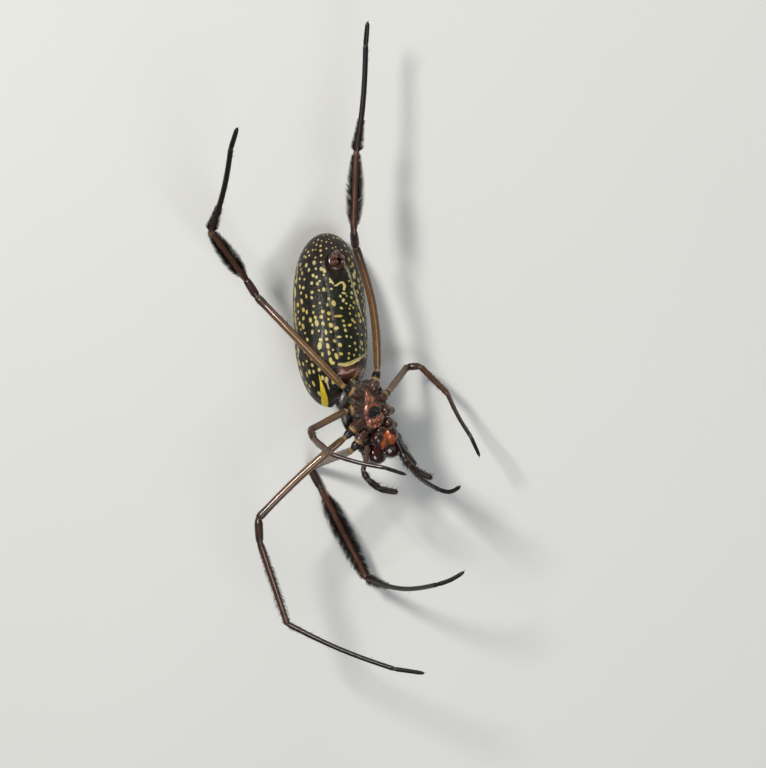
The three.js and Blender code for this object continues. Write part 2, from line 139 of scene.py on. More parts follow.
def shell(points, **marks):
    # a closed surface over rings of points (rows, around, 3) with a number per point for each mark
    if isInsideOut(points):
        points = points[:, ::-1]
        marks = {key: np.broadcast_to(value, points.shape[:2])[:, ::-1]
                 for key, value in marks.items()}
    rows, around = points.shape[:2]
    here = np.arange(around)
    after = (here + 1) % around
    ring = around * np.arange(rows - 1)[:, None]
    quads = np.stack([ring + here, ring + after, ring + around + after, ring + around + here], -1)
    last = (rows - 1) * around
    firstPole, lastPole = rows * around, rows * around + 1
    caps = np.concatenate([
        np.stack([np.full(around, firstPole), after, here], -1),
        np.stack([np.full(around, lastPole), last + here, last + after], -1)])
    flat = {}
    for key, value in marks.items():
        value = np.broadcast_to(value, (rows, around))
        flat[key] = np.concatenate([value.ravel(), [value[0].mean(), value[-1].mean()]])
    verts = np.concatenate([points.reshape(-1, 3), [points[0].mean(0), points[-1].mean(0)]])
    return {"verts": verts, "quads": quads.reshape(-1, 4), "tris": caps, "marks": flat}


def addObject(name, data):
    made = bpy.data.objects.new(name, data)
    bpy.context.scene.collection.objects.link(made)
    return made


def makePiece(name, parts, material, replaces=()):
    # one mesh object from parts of verts, quads, tris and marks, in the spider's own millimetres
    starts = np.cumsum([0] + [len(part["verts"]) for part in parts])
    verts = np.concatenate([part["verts"] for part in parts])
    quads = np.concatenate([part["quads"] + start for part, start in zip(parts, starts)])
    tris = np.concatenate([part["tris"] + start for part, start in zip(parts, starts)])
    corners = np.concatenate([quads.ravel(), tris.ravel()])
    loopStarts = np.concatenate([
        4 * np.arange(len(quads)), 4 * len(quads) + 3 * np.arange(len(tris))])
    mesh = bpy.data.meshes.new(name)
    mesh.vertices.add(len(verts))
    mesh.vertices.foreach_set("co", toFrame(verts).ravel())
    mesh.loops.add(len(corners))
    mesh.loops.foreach_set("vertex_index", corners.astype(np.int32))
    mesh.polygons.add(len(loopStarts))
    mesh.polygons.foreach_set("loop_start", loopStarts.astype(np.int32))
    mesh.update(calc_edges=True)
    mesh.shade_smooth()
    for key in parts[0]["marks"]:
        values = np.concatenate([part["marks"][key] for part in parts])
        mesh.attributes.new(key, "FLOAT", "POINT").data.foreach_set("value", values.astype(np.float32))
    if "patch" in parts[0]:
        patch = np.concatenate([part["patch"] for part in parts])
        mesh.uv_layers.new(name="OFBake").data.foreach_set("uv", patch[corners].ravel())
    mesh.materials.append(material)
    piece = addObject(name, mesh)
    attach(piece, "root")
    if replaces:
        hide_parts(*replaces)
    print(" ", name, len(quads) * 2 + len(tris), "triangles")


hairShape = {
    "steps": (0.0, 0.4, 0.75, 1.0),  # where its rings and its tip are, as shares of its length
    "taper": (1.0, 0.82, 0.5),       # how thick each ring is
    "sunk": 0.06,                    # how deep its root stands in the skin
    "patchSize": (0.0013, 0.0026),   # how wide and how tall it lies on the unwrap
}


def hairs(root, out, along, length, thick, lean, curl, patch):
    # each hair is rings of three points on an arc that starts lean degrees off the skin's normal
    # toward along and bends curl more, and tapers to a tip; patch is its root's place on the unwrap
    count = len(root)
    steps, taper = np.array(hairShape["steps"]), np.array(hairShape["taper"])
    angle = np.radians(lean[:, None] + curl[:, None] * steps)[..., None]
    way = np.cos(angle) * out[:, None] + np.sin(angle) * along[:, None]
    strides = (way[:, :-1] + way[:, 1:]) / 2 * (np.diff(steps) * length[:, None])[..., None]
    centre = (root - hairShape["sunk"] * out)[:, None] + np.concatenate(
        [np.zeros((count, 1, 3)), np.cumsum(strides, 1)], 1)
    across = unit(np.cross(out, along))[:, None]
    over = np.cross(across, way)[:, :3]
    sizes = (thick[:, None] * taper)[..., None, None]
    spin = np.radians([0, 120, 240])[:, None]
    ways = np.cos(spin) * across[:, :, None] + np.sin(spin) * over[:, :, None]
    rings = centre[:, :3, None] + sizes * ways
    verts = np.concatenate([rings.reshape(count, 9, 3), centre[:, 3:]], 1)
    first = 10 * np.arange(count)[:, None, None]
    quad = [[3 * r + (j + 1) % 3, 3 * r + j, 3 * r + j + 3, 3 * r + (j + 1) % 3 + 3]
            for r in range(2) for j in range(3)]
    tri = [[0, 1, 2], [7, 6, 9], [8, 7, 9], [6, 8, 9]]
    spot = np.concatenate([np.repeat(steps[:3], 3), [1.0]])
    turn = np.concatenate([np.tile([-1.0, 0.0, 1.0], 3), [0.0]])
    offset = np.stack([turn, spot - 0.5], -1) * hairShape["patchSize"]
    return {
        "verts": verts.reshape(-1, 3),
        "quads": (first + np.array(quad)).reshape(-1, 4),
        "tris": (first + np.array(tri)).reshape(-1, 3),
        "marks": {"tip": np.tile(spot, count), "shade": np.repeat(chance.random(count), 10)},
        "patch": (patch[:, None] + offset).reshape(-1, 2),
    }


def onUnwrap(across, up):
    # where a hair lies on the unwrap, kept a little off its edges
    return np.stack([across, up], -1) * 0.99 + 0.005


# Shader nodes

def node(tree, kind, inputs=None, **settings):
    made = tree.nodes.new("ShaderNode" + kind)
    for key, value in settings.items():
        setattr(made, key, value)
    for key, value in (inputs or {}).items():
        if isinstance(value, bpy.types.NodeSocket):
            tree.links.new(value, made.inputs[key])
        else:
            made.inputs[key].default_value = value
    return made


def mixed(tree, factor, first, second):
    # the socket of two colours mixed by a factor
    made = node(tree, "Mix", data_type="RGBA")
    for socket, value in zip((made.inputs[0], made.inputs[6], made.inputs[7]), (factor, first, second)):
        if isinstance(value, bpy.types.NodeSocket):
            tree.links.new(value, socket)
        else:
            socket.default_value = value
    return made.outputs[2]


def mark(tree, name):
    return node(tree, "Attribute", attribute_name=name).outputs["Fac"]


def rgb(red, green, blue):
    return (red, green, blue, 1.0)


def ranged(tree, value, low=0.0, high=1.0, least=0.0, most=1.0, **settings):
    # the socket of a value taken from one range to another
    return node(tree, "MapRange", {
        "Value": value, "From Min": low, "From Max": high, "To Min": least, "To Max": most},
        **settings).outputs["Result"]


def cloudy(tree, scale, detail, roughness=0.5):
    # the node of a noise on the object's own place
    place = node(tree, "TexCoord").outputs["Object"]
    return node(tree, "TexNoise", {
        "Vector": place, "Scale": scale, "Detail": detail, "Roughness": roughness})


def multiplied(tree, first, second):
    # the socket of two colours multiplied
    return node(tree, "MixRGB", {"Fac": 1.0, "Color1": first, "Color2": second},
                blend_type="MULTIPLY").outputs[0]


def added(tree, first, second):
    return node(tree, "Math", {0: first, 1: second}, operation="ADD").outputs[0]


def startGroup(name, inputs, outputs):
    # a node group with named float inputs and outputs; returns the group, its start and its end
    group = bpy.data.node_groups.new(name, "ShaderNodeTree")
    for label, value in inputs.items():
        made = group.interface.new_socket(name=label, in_out="INPUT", socket_type="NodeSocketFloat")
        made.default_value = value
    for label in outputs:
        group.interface.new_socket(name=label, in_out="OUTPUT", socket_type="NodeSocketFloat")
    return group, group.nodes.new("NodeGroupInput"), group.nodes.new("NodeGroupOutput")


def buildChitin():
    # the grain of hard skin: cloudy mottling, small hair pits and fine wrinkles
    group, start, end = startGroup(
        "chitinGrain", {"Cloud scale": 900.0, "Pit scale": 6000.0, "Pit depth": 0.5},
        ("Mottle", "Height", "Roughness"))
    clouds = cloudy(group, start.outputs["Cloud scale"], 4.0, 0.6).outputs["Fac"]
    fine = cloudy(group, start.outputs["Pit scale"], 2.0).outputs["Fac"]
    place = node(group, "TexCoord").outputs["Object"]
    pits = node(group, "TexVoronoi", {"Vector": place, "Scale": start.outputs["Pit scale"]})
    pit = ranged(group, pits.outputs["Distance"], 0.0, 0.45)
    deep = node(group, "Math", {0: pit, 1: start.outputs["Pit depth"]}, operation="MULTIPLY")
    group.links.new(ranged(group, clouds, 0.3, 0.7), end.inputs["Mottle"])
    group.links.new(added(group, deep.outputs[0], fine), end.inputs["Height"])
    group.links.new(fine, end.inputs["Roughness"])
    return group


chitin = buildChitin()
shaderSockets = {
    "specular": "Specular IOR Level", "coat": "Coat Weight", "coatRough": "Coat Roughness",
    "roughness": "Roughness",
}


def newMaterial(name, **constants):
    # a material, its tree and its shader, with constants set on the shader's sockets
    material = bpy.data.materials.new(name)
    material.use_nodes = True
    tree = material.node_tree
    shader = tree.nodes["Principled BSDF"]
    for key, socket in shaderSockets.items():
        if key in constants:
            shader.inputs[socket].default_value = constants[key]
    return material, tree, shader


def grained(tree, shader, values, colour):
    # places the chitin grain in a material: darker mottling of a colour, roughness and bump
    grain = node(tree, "Group", node_tree=chitin)
    for socket, key in (("Cloud scale", "cloud"), ("Pit scale", "pit"), ("Pit depth", "depth")):
        grain.inputs[socket].default_value = values[key]
    darker = multiplied(tree, colour, values["shadow"])
    rough = ranged(tree, grain.outputs["Roughness"], 0.3, 0.7, values["smooth"], values["rough"])
    relief = node(tree, "Bump", {
        "Height": grain.outputs["Height"], "Strength": values["relief"],
        "Distance": values.get("reliefDistance", 0.03) * mm})
    tree.links.new(mixed(tree, grain.outputs["Mottle"], darker, colour), shader.inputs["Base Color"])
    tree.links.new(rough, shader.inputs["Roughness"])
    tree.links.new(relief.outputs["Normal"], shader.inputs["Normal"])


def hairMaterial(name, rootColour, tipColour, roughness):
    # a hair's colour runs from its root to its tip, and hairs differ in shade
    material, tree, shader = newMaterial(name, roughness=roughness, specular=0.35)
    colour = mixed(tree, mark(tree, "tip"), rootColour, tipColour)
    shade = ranged(tree, mark(tree, "shade"), 0.0, 1.0, 0.55, 1.35)
    grey = node(tree, "CombineColor", {"Red": shade, "Green": shade, "Blue": shade})
    tree.links.new(multiplied(tree, colour, grey.outputs[0]), shader.inputs["Base Color"])
    return material


blackHair = hairMaterial("bristle black", rgb(0.006, 0.004, 0.003), rgb(0.012, 0.007, 0.005), 0.5)
silverHair = hairMaterial("hair silver", rgb(0.42, 0.38, 0.30), rgb(0.78, 0.74, 0.64), 0.38)
goldHair = hairMaterial("hair pale gold", rgb(0.20, 0.14, 0.07), rgb(0.55, 0.44, 0.26), 0.4)
duskHair = hairMaterial("hair dusk", rgb(0.022, 0.018, 0.012), rgb(0.10, 0.085, 0.07), 0.4)
print("hair materials ready")


# Abdomen: a long blunt barrel. t runs from its front end to its rear end, the angle in degrees from
# the middle of the belly toward the spider's right side.

abdomen = {
    "length": 23.2, "halfWidth": 5.0, "halfHeight": 4.9,
    "widestAt": 0.4, "frontPower": 2.8, "rearPower": 3.2,
    "rows": 330, "around": 288,
    "twist": 20.0, "twistFrom": 0.76, "twistOver": 0.58,
    "overhang": 1.1, "overhangWay": -120.0,
    "dimples": [(0.22, 165), (0.38, 162), (0.55, 166)],  # where the muscles of the back are fixed
    "skinSize": (23.0, 5.0),  # about how long the skin is, and how wide for each radian
    "socketAt": 0.775,        # the middle of the dip in which the spinnerets sit
    "hairs": 5200,
}


def wrapped(degrees):
    return (degrees + 180) % 360 - 180


def abdomenWidth(t):
    # the root of one less a power of the distance from the widest ring
    inFront = t < abdomen["widestAt"]
    span = np.where(inFront, abdomen["widestAt"], 1 - abdomen["widestAt"])
    power = np.where(inFront, abdomen["frontPower"], abdomen["rearPower"])
    return np.sqrt(np.clip(1 - np.abs((t - abdomen["widestAt"]) / span) ** power, 0, None))


def abdomenPlace(t, angle, swell):
    # the barrel's ring at t, swollen along its own radius, its back left side hung forward
    width = abdomenWidth(t) * (1 + swell / abdomen["halfWidth"])
    x = abdomen["halfWidth"] * width * np.sin(angle)
    z = abdomen["halfHeight"] * width * np.cos(angle)
    share = (1 + np.cos(angle - np.radians(abdomen["overhangWay"]))) / 2
    y = (t - 0.5) * abdomen["length"] - abdomen["overhang"] * share * smooth(0.22, 0.0, t)
    return np.stack([x, y, z], -1)


def patternAngle(t, angle):
    # the belly's middle line turns toward the right side in front, as the soft body is twisted
    shift = abdomen["twist"] * np.clip((abdomen["twistFrom"] - t) / abdomen["twistOver"], 0, 1)
    return wrapped(np.degrees(angle) - shift)


# Marks on the abdomen. Lines are (t, angle, half width); ovals are (t, angle, half width across, half
# length along, slant); bare boxes without rows of spots are (angle from, angle to, t from, t to).
outside = -9.0  # the depth given where no mark is near
spotting = {
    "rowAngle": 11.0, "step": 1.02, "skip": 0.09, "spread": 2.4, "slant": 0.16,
    "halfAcross": (0.155, 0.29), "stretch": (0.95, 2.1), "plateHalf": 22.0,
    "bare": [(-22, 22, 0, 0.2), (-22, 22, 0.69, 0.86), (-22, -8, 0, 0.6), (-34, 34, 0, 0.19),
             (-14, 14, 0.6, 0.69), (60, 76, 0, 0.14), (-76, -60, 0, 0.14), (-200, 200, 0, 0.05)],
    "belly": [(0.529, -18, 0.27, 0.42, 0.0), (0.452, -14, 0.62, 0.17, 0.05),
              (0.38, -21, 0.34, 0.24, 0.1), (0.328, -19, 0.3, 0.16, 0.0),
              (0.28, -19.6, 0.26, 0.28, 0.0), (0.228, -20, 0.25, 0.2, 0.0),
              (0.591, 2, 0.34, 0.15, -0.1), (0.552, -1, 0.2, 0.17, 0.0), (0.40, 2, 0.24, 0.2, 0.4),
              (0.078, -50, 0.09, 0.55, 0.1), (0.178, -36, 0.3, 0.2, 0.2), (0.53, 3, 0.18, 0.14, 0.3),
              (0.52, 10, 0.18, 0.15, 0.0)],
    "sideDashes": {"from": 0.07, "to": 0.84, "half": 0.18, "long": 0.6, "gap": 0.3, "spread": 1.2},
    "hook": [(0.678, -17, 0.12), (0.660, -15, 0.18), (0.648, -13, 0.12)],
    "curl": [(0.636, -12, 0.08), (0.637, -8, 0.11), (0.647, -4, 0.10), (0.656, 0, 0.13),
             (0.655, 4, 0.18), (0.638, 6, 0.2), (0.612, 3, 0.14)],
    "furrow": [(0.171, -26, 0.14), (0.168, -14, 0.24), (0.182, 0, 0.26), (0.214, 18, 0.2),
               (0.262, 48, 0.08)],
    "band": [(0.130, -44, 0.03), (0.095, -44, 0.15), (0.060, -46, 0.33), (0.028, -54, 0.45),
             (0.012, -80, 0.46), (0.012, -130, 0.45), (0.030, -160, 0.45), (0.040, -180, 0.45)],
    "bandRight": [(0.130, 84, 0.03), (0.095, 84, 0.15), (0.060, 86, 0.33), (0.040, 100, 0.45),
                  (0.035, 130, 0.46), (0.035, 155, 0.45), (0.038, 170, 0.45), (0.040, 180, 0.45)],
    "paleRight": [(0.79, 16, 0.16), (0.74, 19, 0.22), (0.68, 21, 0.2), (0.61, 25, 0.17),
                  (0.54, 28, 0.2), (0.47, 33, 0.15), (0.40, 43, 0.05)],
    # a pinkish painted highlight along the top of the lung covers
    "platePaintedHighlight": [(0.118, -30, 0.02), (0.128, -20, 0.16), (0.124, -10, 0.1), (0.142, 2, 0.15),
                   (0.150, 10, 0.02)],
    "plateRim": [(0.168, 13, 0.03), (0.140, 14, 0.12), (0.112, 13, 0.2), (0.084, 8, 0.16),
                 (0.066, -4, 0.05)],
    # the grey band over the front left side is a painted sheen of light on the fine hairs
    "shade": [(0.22, -101, 0.0), (0.14, -110, 0.35), (0.08, -118, 0.4), (0.04, -126, 0.2)],
}


def spotField(t, around, spots):
    # for each point the depth inside the nearest oval spot, in millimetres, negative outside
    field = np.full(t.shape, outside)
    radius = abdomen["halfWidth"] * abdomenWidth(t)
    for spotT, spotAngle, halfAcross, halfAlong, slant in spots:
        near = np.abs(t - spotT) < 0.06
        dy = (t[near] - spotT) * abdomen["length"]
        dx = np.radians(wrapped(around[near] - spotAngle)) * radius[near]
        cosine, sine = math.cos(slant), math.sin(slant)
        reach = np.hypot((dx * cosine + dy * sine) / halfAcross, (dy * cosine - dx * sine) / halfAlong)
        field[near] = np.maximum(field[near], (1 - reach) * min(halfAcross, halfAlong))
    return field


def bandDepth(offset, step, startHalf, endHalf):
    # the depth inside one stretch of a band: its half width there less the distance from its line
    share = np.clip(np.sum(offset * step, -1) / np.sum(step * step, -1), 0, 1)
    distance = np.linalg.norm(offset - share[..., None] * step, axis=-1)
    return startHalf + (endHalf - startHalf) * share - distance


def bandField(points, line):
    # the depth inside a band along a line on the barrel, by distance in space
    t, angle, half = np.array(line).T
    joints = abdomenPlace(t, np.radians(angle), 0)
    depths = [bandDepth(points - joints[i], joints[i + 1] - joints[i], half[i], half[i + 1])
              for i in range(len(line) - 1)]
    return np.maximum(outside, np.max(depths, axis=0))


def lineField(t, around, line, wide=1):
    # the depth inside a band along a line on the unrolled skin
    field = np.full(t.shape, outside)
    radius = abdomen["halfWidth"] * np.maximum(abdomenWidth(t), 0.25)
    for (t0, angle0, half0), (t1, angle1, half1) in zip(line, line[1:]):
        dx = np.radians(wrapped(around - angle0)) * radius
        offset = np.stack([dx, (t - t0) * abdomen["length"]], -1)
        stepX = np.radians(angle1 - angle0) * radius
        step = np.stack([stepX, (t1 - t0) * abdomen["length"] + 0 * stepX], -1)
        field = np.maximum(field, bandDepth(offset, step, wide * half0, wide * half1))
    return field


def skinDistance(t, pattern, atT, atAngle):
    # about how far each point is from one place on the skin
    long, wide = abdomen["skinSize"]
    return np.hypot((t - atT) * long, np.radians(wrapped(pattern - atAngle)) * wide)


def layOutSpots():
    # rows of oval spots along the body, each moved a little, fewer and smaller toward the rear end
    spots = []
    rowCount = int(360 / spotting["rowAngle"])
    (thin, thick), (plain, tall) = spotting["halfAcross"], spotting["stretch"]
    for row in range(rowCount):
        rowAt = -180 + 360 * (row + 0.5) / rowCount
        t = 0.03 + 0.03 * chance.random()
        while t < 0.985:
            small = float(smooth(1.0, 0.68, t))
            across = (0.5 + 0.5 * small) * (thin + (thick - thin) * chance.random() ** 1.3)
            stretch = plain + (tall - plain) * chance.random() ** 1.8
            at = rowAt + chance.normal(0, spotting["spread"])
            step = spotting["step"] * (0.7 + 0.6 * chance.random()) / abdomen["length"]
            onPlate = abs(at) < spotting["plateHalf"]
            bare = any(low < at < high and first < t < last
                       for low, high, first, last in spotting["bare"])
            skip = spotting["skip"] + 0.15 * (t > 0.9) + 0.12 * onPlate * (t < 0.7)
            if chance.random() > skip and not bare:
                slant = chance.normal(0, spotting["slant"])
                if onPlate:
                    stretch = 0.8 + 0.3 * chance.random()
                    across = across * 0.85
                spots.append((t, at, across, across * (1 + (stretch - 1) * small), slant))
            t += step * (0.85 if onPlate else 1)
    return spots + spotting["belly"]


def sideDashes(side):
    # the broken pale line between belly and flank: dashes end to end with small gaps
    look = spotting["sideDashes"]
    dashes = []
    t = look["from"]
    while t < look["to"]:
        half = look["long"] * (0.7 + 0.6 * chance.random())
        at = side * (98 - 10 * float(smooth(0.5, 0.7, t)) + 36 * float(smooth(0.32, 0.05, t)))
        at = at + chance.normal(0, look["spread"])
        dashes.append((t, at, look["half"] * (0.8 + 0.4 * chance.random()), half, 0.0))
        t += (2 * half + look["gap"]) / abdomen["length"]
    return dashes


def abdomenSkin():
    rows, around = abdomen["rows"], abdomen["around"]
    # rings crowd toward the ends, where the surface turns fast
    even = np.linspace(0.03, math.pi - 0.03, rows)
    t = np.broadcast_to(((1 - np.cos(even)) / 2)[:, None], (rows, around))
    t = 0.35 * t + 0.65 * np.linspace(0.0012, 0.9988, rows)[:, None]
    angle = np.broadcast_to(np.linspace(-math.pi, math.pi, around, endpoint=False), (rows, around))
    pattern = patternAngle(t, angle)
    # the lung covers swell in front of the furrow, with a fold before them and fine wrinkles
    furrowT, furrowAngle, _ = zip(*spotting["furrow"])
    frontOfFurrow = smooth(0.02, -0.02, t - np.interp(pattern, furrowAngle, furrowT))
    nearBelly = smooth(62, 40, np.abs(pattern - 5))
    plates = frontOfFurrow * nearBelly * smooth(0.03, 0.09, t)
    lungs = (bump(pattern, -12, 13) + bump(pattern, 22, 15)) * bump(t, 0.125, 0.026)
    groove = lineField(t, pattern, spotting["furrow"], 0)
    swell = 0.3 * plates * lungs - 0.14 * bump(groove, 0, 0.16) * nearBelly
    swell = swell - 0.2 * bump(t, 0.075, 0.022) * smooth(44, 26, np.abs(pattern - 4))
    swell = swell + 0.05 * np.sin(t * 420 + pattern * 0.12) * plates * smooth(0.17, 0.15, t)
    # dimples, shallow lengthwise folds, the edges of the belly's plate, and the spinnerets' socket
    for dimpleT, dimpleAngle in abdomen["dimples"]:
        for side in (1, -1):
            swell = swell - 0.16 * bump(skinDistance(t, pattern, dimpleT, side * dimpleAngle), 0, 0.32)
    folds = 0.012 * np.sin(np.radians(pattern) * 22 + 3 * np.sin(t * 9))
    swell = swell + folds * smooth(0.05, 0.2, t) * smooth(1, 0.8, t)
    swell = swell - 0.1 * bump(np.abs(pattern), 24, 4) * smooth(0.2, 0.3, t) * smooth(0.8, 0.65, t)
    socket = skinDistance(t, pattern, abdomen["socketAt"], 0)
    points = abdomenPlace(t, angle, swell - 0.25 * smooth(1.9, 1.3, socket))

    def line(name):
        return lineField(t, pattern, spotting[name])

    dashes = sideDashes(-1) + sideDashes(1)
    spots = spotField(t, pattern, layOutSpots() + dashes)
    plateEdge = 24 + 14 * smooth(0.45, 0.25, t) * (pattern > 0)
    greyLine = 0.12 - np.abs(np.abs(pattern) - plateEdge) * 0.07
    greyLine = greyLine + 0.12 * np.sin(t * 131) * np.sin(t * 47 + 1)
    return fromRear(points), {
        "spot": np.max([spots, line("curl"), line("hook"), line("furrow")], axis=0),
        "band": np.maximum(bandField(points, spotting["band"]), bandField(points, spotting["bandRight"])),
        # the front plate's pinkish line is a painted highlight
        "plateRim": line("plateRim"), "platePaintedHighlight": line("platePaintedHighlight"),
        # greyLine: a grey line along the plate's edge, joined by the painted sheen band on the front left
        "greyLine": np.maximum(np.where((t > 0.2) & (t < 0.8), greyLine, -1), line("shade")),
        "paleLine": line("paleRight") + 0.09 * np.sin(t * 173) * np.sin(t * 61 + pattern * 0.15),
        "plate": smooth(30, 20, np.abs(pattern)) * smooth(0.19, 0.24, t) * smooth(0.72, 0.6, t),
        "rearEnd": smooth(0.66, 0.86, t) + 0.6 * smooth(2.6, 1.6, socket),
        "glossPlate": smooth(38, 26, np.abs(pattern - 6)) * bump(t, 0.13, 0.035) * frontOfFurrow,
    }


def abdomenMaterial():
    material, tree, shader = newMaterial("abdomen skin", specular=0.28, coatRough=0.12)
    colour = mixed(tree, mark(tree, "plate"), rgb(0.007, 0.007, 0.004), rgb(0.009, 0.013, 0.004))
    colour = mixed(tree, mark(tree, "rearEnd"), colour, rgb(0.012, 0.006, 0.005))
    colour = mixed(tree, mark(tree, "glossPlate"), colour, rgb(0.15, 0.040, 0.024))
    rust = ranged(tree, cloudy(tree, 330.0, 1.0).outputs["Fac"], 0.6, 0.72, 0.0, 0.7)
    colour = mixed(tree, rust, colour, rgb(0.060, 0.032, 0.014))
    dust = ranged(tree, cloudy(tree, 2600.0, 4.0, 0.7).outputs["Fac"], 0.52, 0.7, 0.0, 0.5)
    colour = mixed(tree, dust, colour, rgb(0.032, 0.029, 0.018))
    yolk = ranged(tree, cloudy(tree, 420.0, 1.0).outputs["Fac"], 0.35, 0.65)
    cream = mixed(tree, yolk, rgb(0.70, 0.60, 0.28), rgb(0.66, 0.51, 0.12))
    # each mark with how soft its edge is and how strong it is; a fine noise frays the edges
    wobble = ranged(tree, cloudy(tree, 5200.0, 3.0).outputs["Fac"], 0.0, 1.0, -0.07, 0.07)
    for name, soft, strength, paint in (
            # the grey paint is the plate edge's own line, and on the front left a painted sheen
            ("greyLine", 0.12, 0.4, rgb(0.22, 0.21, 0.18)), ("paleLine", 0.07, 0.85, rgb(0.44, 0.42, 0.24)),
            # the front plate's pinkish line is a painted highlight
            ("plateRim", 0.1, 0.8, rgb(0.36, 0.24, 0.06)), ("platePaintedHighlight", 0.12, 0.75, rgb(0.60, 0.36, 0.32)),
            ("spot", 0.045, 0.95, cream), ("band", 0.06, 1.0, rgb(0.80, 0.60, 0.035))):
        cover = ranged(tree, added(tree, mark(tree, name), wobble), -soft, soft, 0.0, strength,
                       interpolation_type="SMOOTHSTEP")
        colour = mixed(tree, cover, colour, paint)
    grained(tree, shader, {
        "cloud": 700.0, "pit": 3600.0, "depth": 0.8, "shadow": rgb(0.62, 0.6, 0.58),
        "reliefDistance": 0.05, "smooth": 0.34, "rough": 0.52, "relief": 1.0}, colour)
    tree.links.new(ranged(tree, mark(tree, "glossPlate"), 0.0, 1.0, 0.05, 0.9), shader.inputs["Coat Weight"])
    return material


abdomenPoints, abdomenMarks = abdomenSkin()
makePiece("abdomenSkin", [shell(abdomenPoints, **abdomenMarks)], abdomenMaterial(), ["abdomen"])


def abdomenHair(count):
    # short hairs over the whole skin, lying toward the rear end
    t = between(0.02, 0.985, count)
    angle = between(-math.pi, math.pi, count)
    here = abdomenPlace(t, angle, 0)
    along = unit(abdomenPlace(t + 0.004, angle, 0) - here)
    side = unit(abdomenPlace(t, angle + 0.02, 0) - here)
    out = unit(np.cross(side, along))
    out = np.where(np.sum(out * (here * [1, 0.2, 1]), -1, keepdims=True) < 0, -out, out)
    patch = onUnwrap(angle / (2 * math.pi) + 0.5, t)
    return hairs(
        fromRear(here), out @ rearTurn.T, along @ rearTurn.T, between(0.14, 0.3, count),
        between(0.006, 0.010, count), between(50, 68, count), between(5, 20, count), patch)


makePiece("abdomenHair", [abdomenHair(abdomen["hairs"])], duskHair)
print("abdomen done")


# Legs: a tube along a line of joints. Each pair's lengths run from femur to tarsus, and its brush says
# how many bristles stand on the tibia, how far they reach, from where, and how tall along it. The pose
# gives each joint's turn from +X toward the rear, its rise toward the viewer, and a sideways bow.

legSizes = {
    1: {"lengths": (17.0, 3.1, 14.2, 18.6, 4.2), "root": (1.75, -2.45), "hip": (4.3, -4.25),
        "thick": 1.0, "foot": 1.0,
        "brush": {"count": 2100, "reach": 1.3, "from": 0.1, "onFoot": 420,
                  "tall": [(0, 0.42), (0.1, 0.82), (0.3, 1), (0.6, 0.92), (0.88, 0.6), (1, 0.35)]}},
    2: {"lengths": (15.9, 3.2, 12.2, 16.2, 4.1), "root": (1.8, -0.85), "hip": (4.9, -2.2),
        "thick": 1.0, "foot": 1.0,
        "brush": {"count": 420, "reach": 0.62, "from": 0.05, "onFoot": 110,
                  "tall": [(0, 0.5), (0.3, 0.8), (0.8, 1), (1, 0.6)]}},
    3: {"lengths": (8.0, 1.8, 5.4, 7.6, 2.9), "root": (1.8, 0.85), "hip": (4.0, 1.2),
        "thick": 0.86, "foot": 1.0,
        "brush": {"count": 200, "reach": 0.34, "from": 0.2, "onFoot": 0, "tall": [(0, 0.7), (1, 0.8)]}},
    4: {"lengths": (17.2, 2.8, 10.6, 14.4, 3.2), "root": (1.0, 2.3), "hip": (2.9, 4.5),
        "thick": 1.0, "foot": 1.14,
        "brush": {"count": 1700, "reach": 1.1, "from": 0.08, "onFoot": 700,
                  "tall": [(0, 0.4), (0.12, 0.8), (0.35, 1), (0.6, 0.86), (0.85, 0.56), (1, 0.3)]}},
}

legPose = {
    "leg_1_left": {"pair": 1, "side": -1, "reach": 1.0, "ways": [
        (-157, -67.5, 0), (-63, 0, 0), (-63, 2, 0), (-1, 59, 1.0), (26, 16, 0.22)]},
    "leg_1_right": {"pair": 1, "side": 1, "reach": 0.95, "fold": 1.35, "tuck": (-0.9, 0.1, -0.5), "ways": [
        (151.5, -28, 0), (-37, -6, 0), (-39, -6, 0), (-46, 69, 0.8), (9, 46, 0.55)]},
    "leg_2_left": {"pair": 2, "side": -1, "reach": 1.0, "ways": [
        (-137, 0, 0.3), (-87, 0, 0), (-72, -15, 0), (-22, 15, 0.4), (-8, 6, 0)]},
    "leg_2_right": {"pair": 2, "side": 1, "reach": 0.86, "fold": 1.35, "tuck": (-0.9, 0.1, -0.5), "ways": [
        (153, -31, -0.3), (-43, 6, 0), (-38, 2, 0), (-58, 79, 0.2), (-52, 74, 0)]},
    "leg_3_left": {"pair": 3, "side": -1, "reach": 0.9, "ways": [
        (-152, 50, 0), (-66, 40, 0), (-39, 57, 0), (-14, 15, 0.2), (-18, 0, 0)]},
    "leg_3_right": {"pair": 3, "side": 1, "reach": 0.85, "ways": [
        (53, -58, 0), (4, 12, 0), (-45, 0, 0), (-62, 30, 0.2), (-66, 1, 0)]},
    "leg_4_left": {"pair": 4, "side": -1, "reach": 1.0, "ways": [
        (134, -12, 0), (122, 2, 0), (126, 43, 0), (74, 40, 0.4), (71, 30, 0)]},
    "leg_4_right": {"pair": 4, "side": 1, "reach": 1.0, "ways": [
        (100, 10, 0.9), (97, 43, 0), (88, 0, 0), (85, 4, 0.3), (85, 20, 0)]},
}

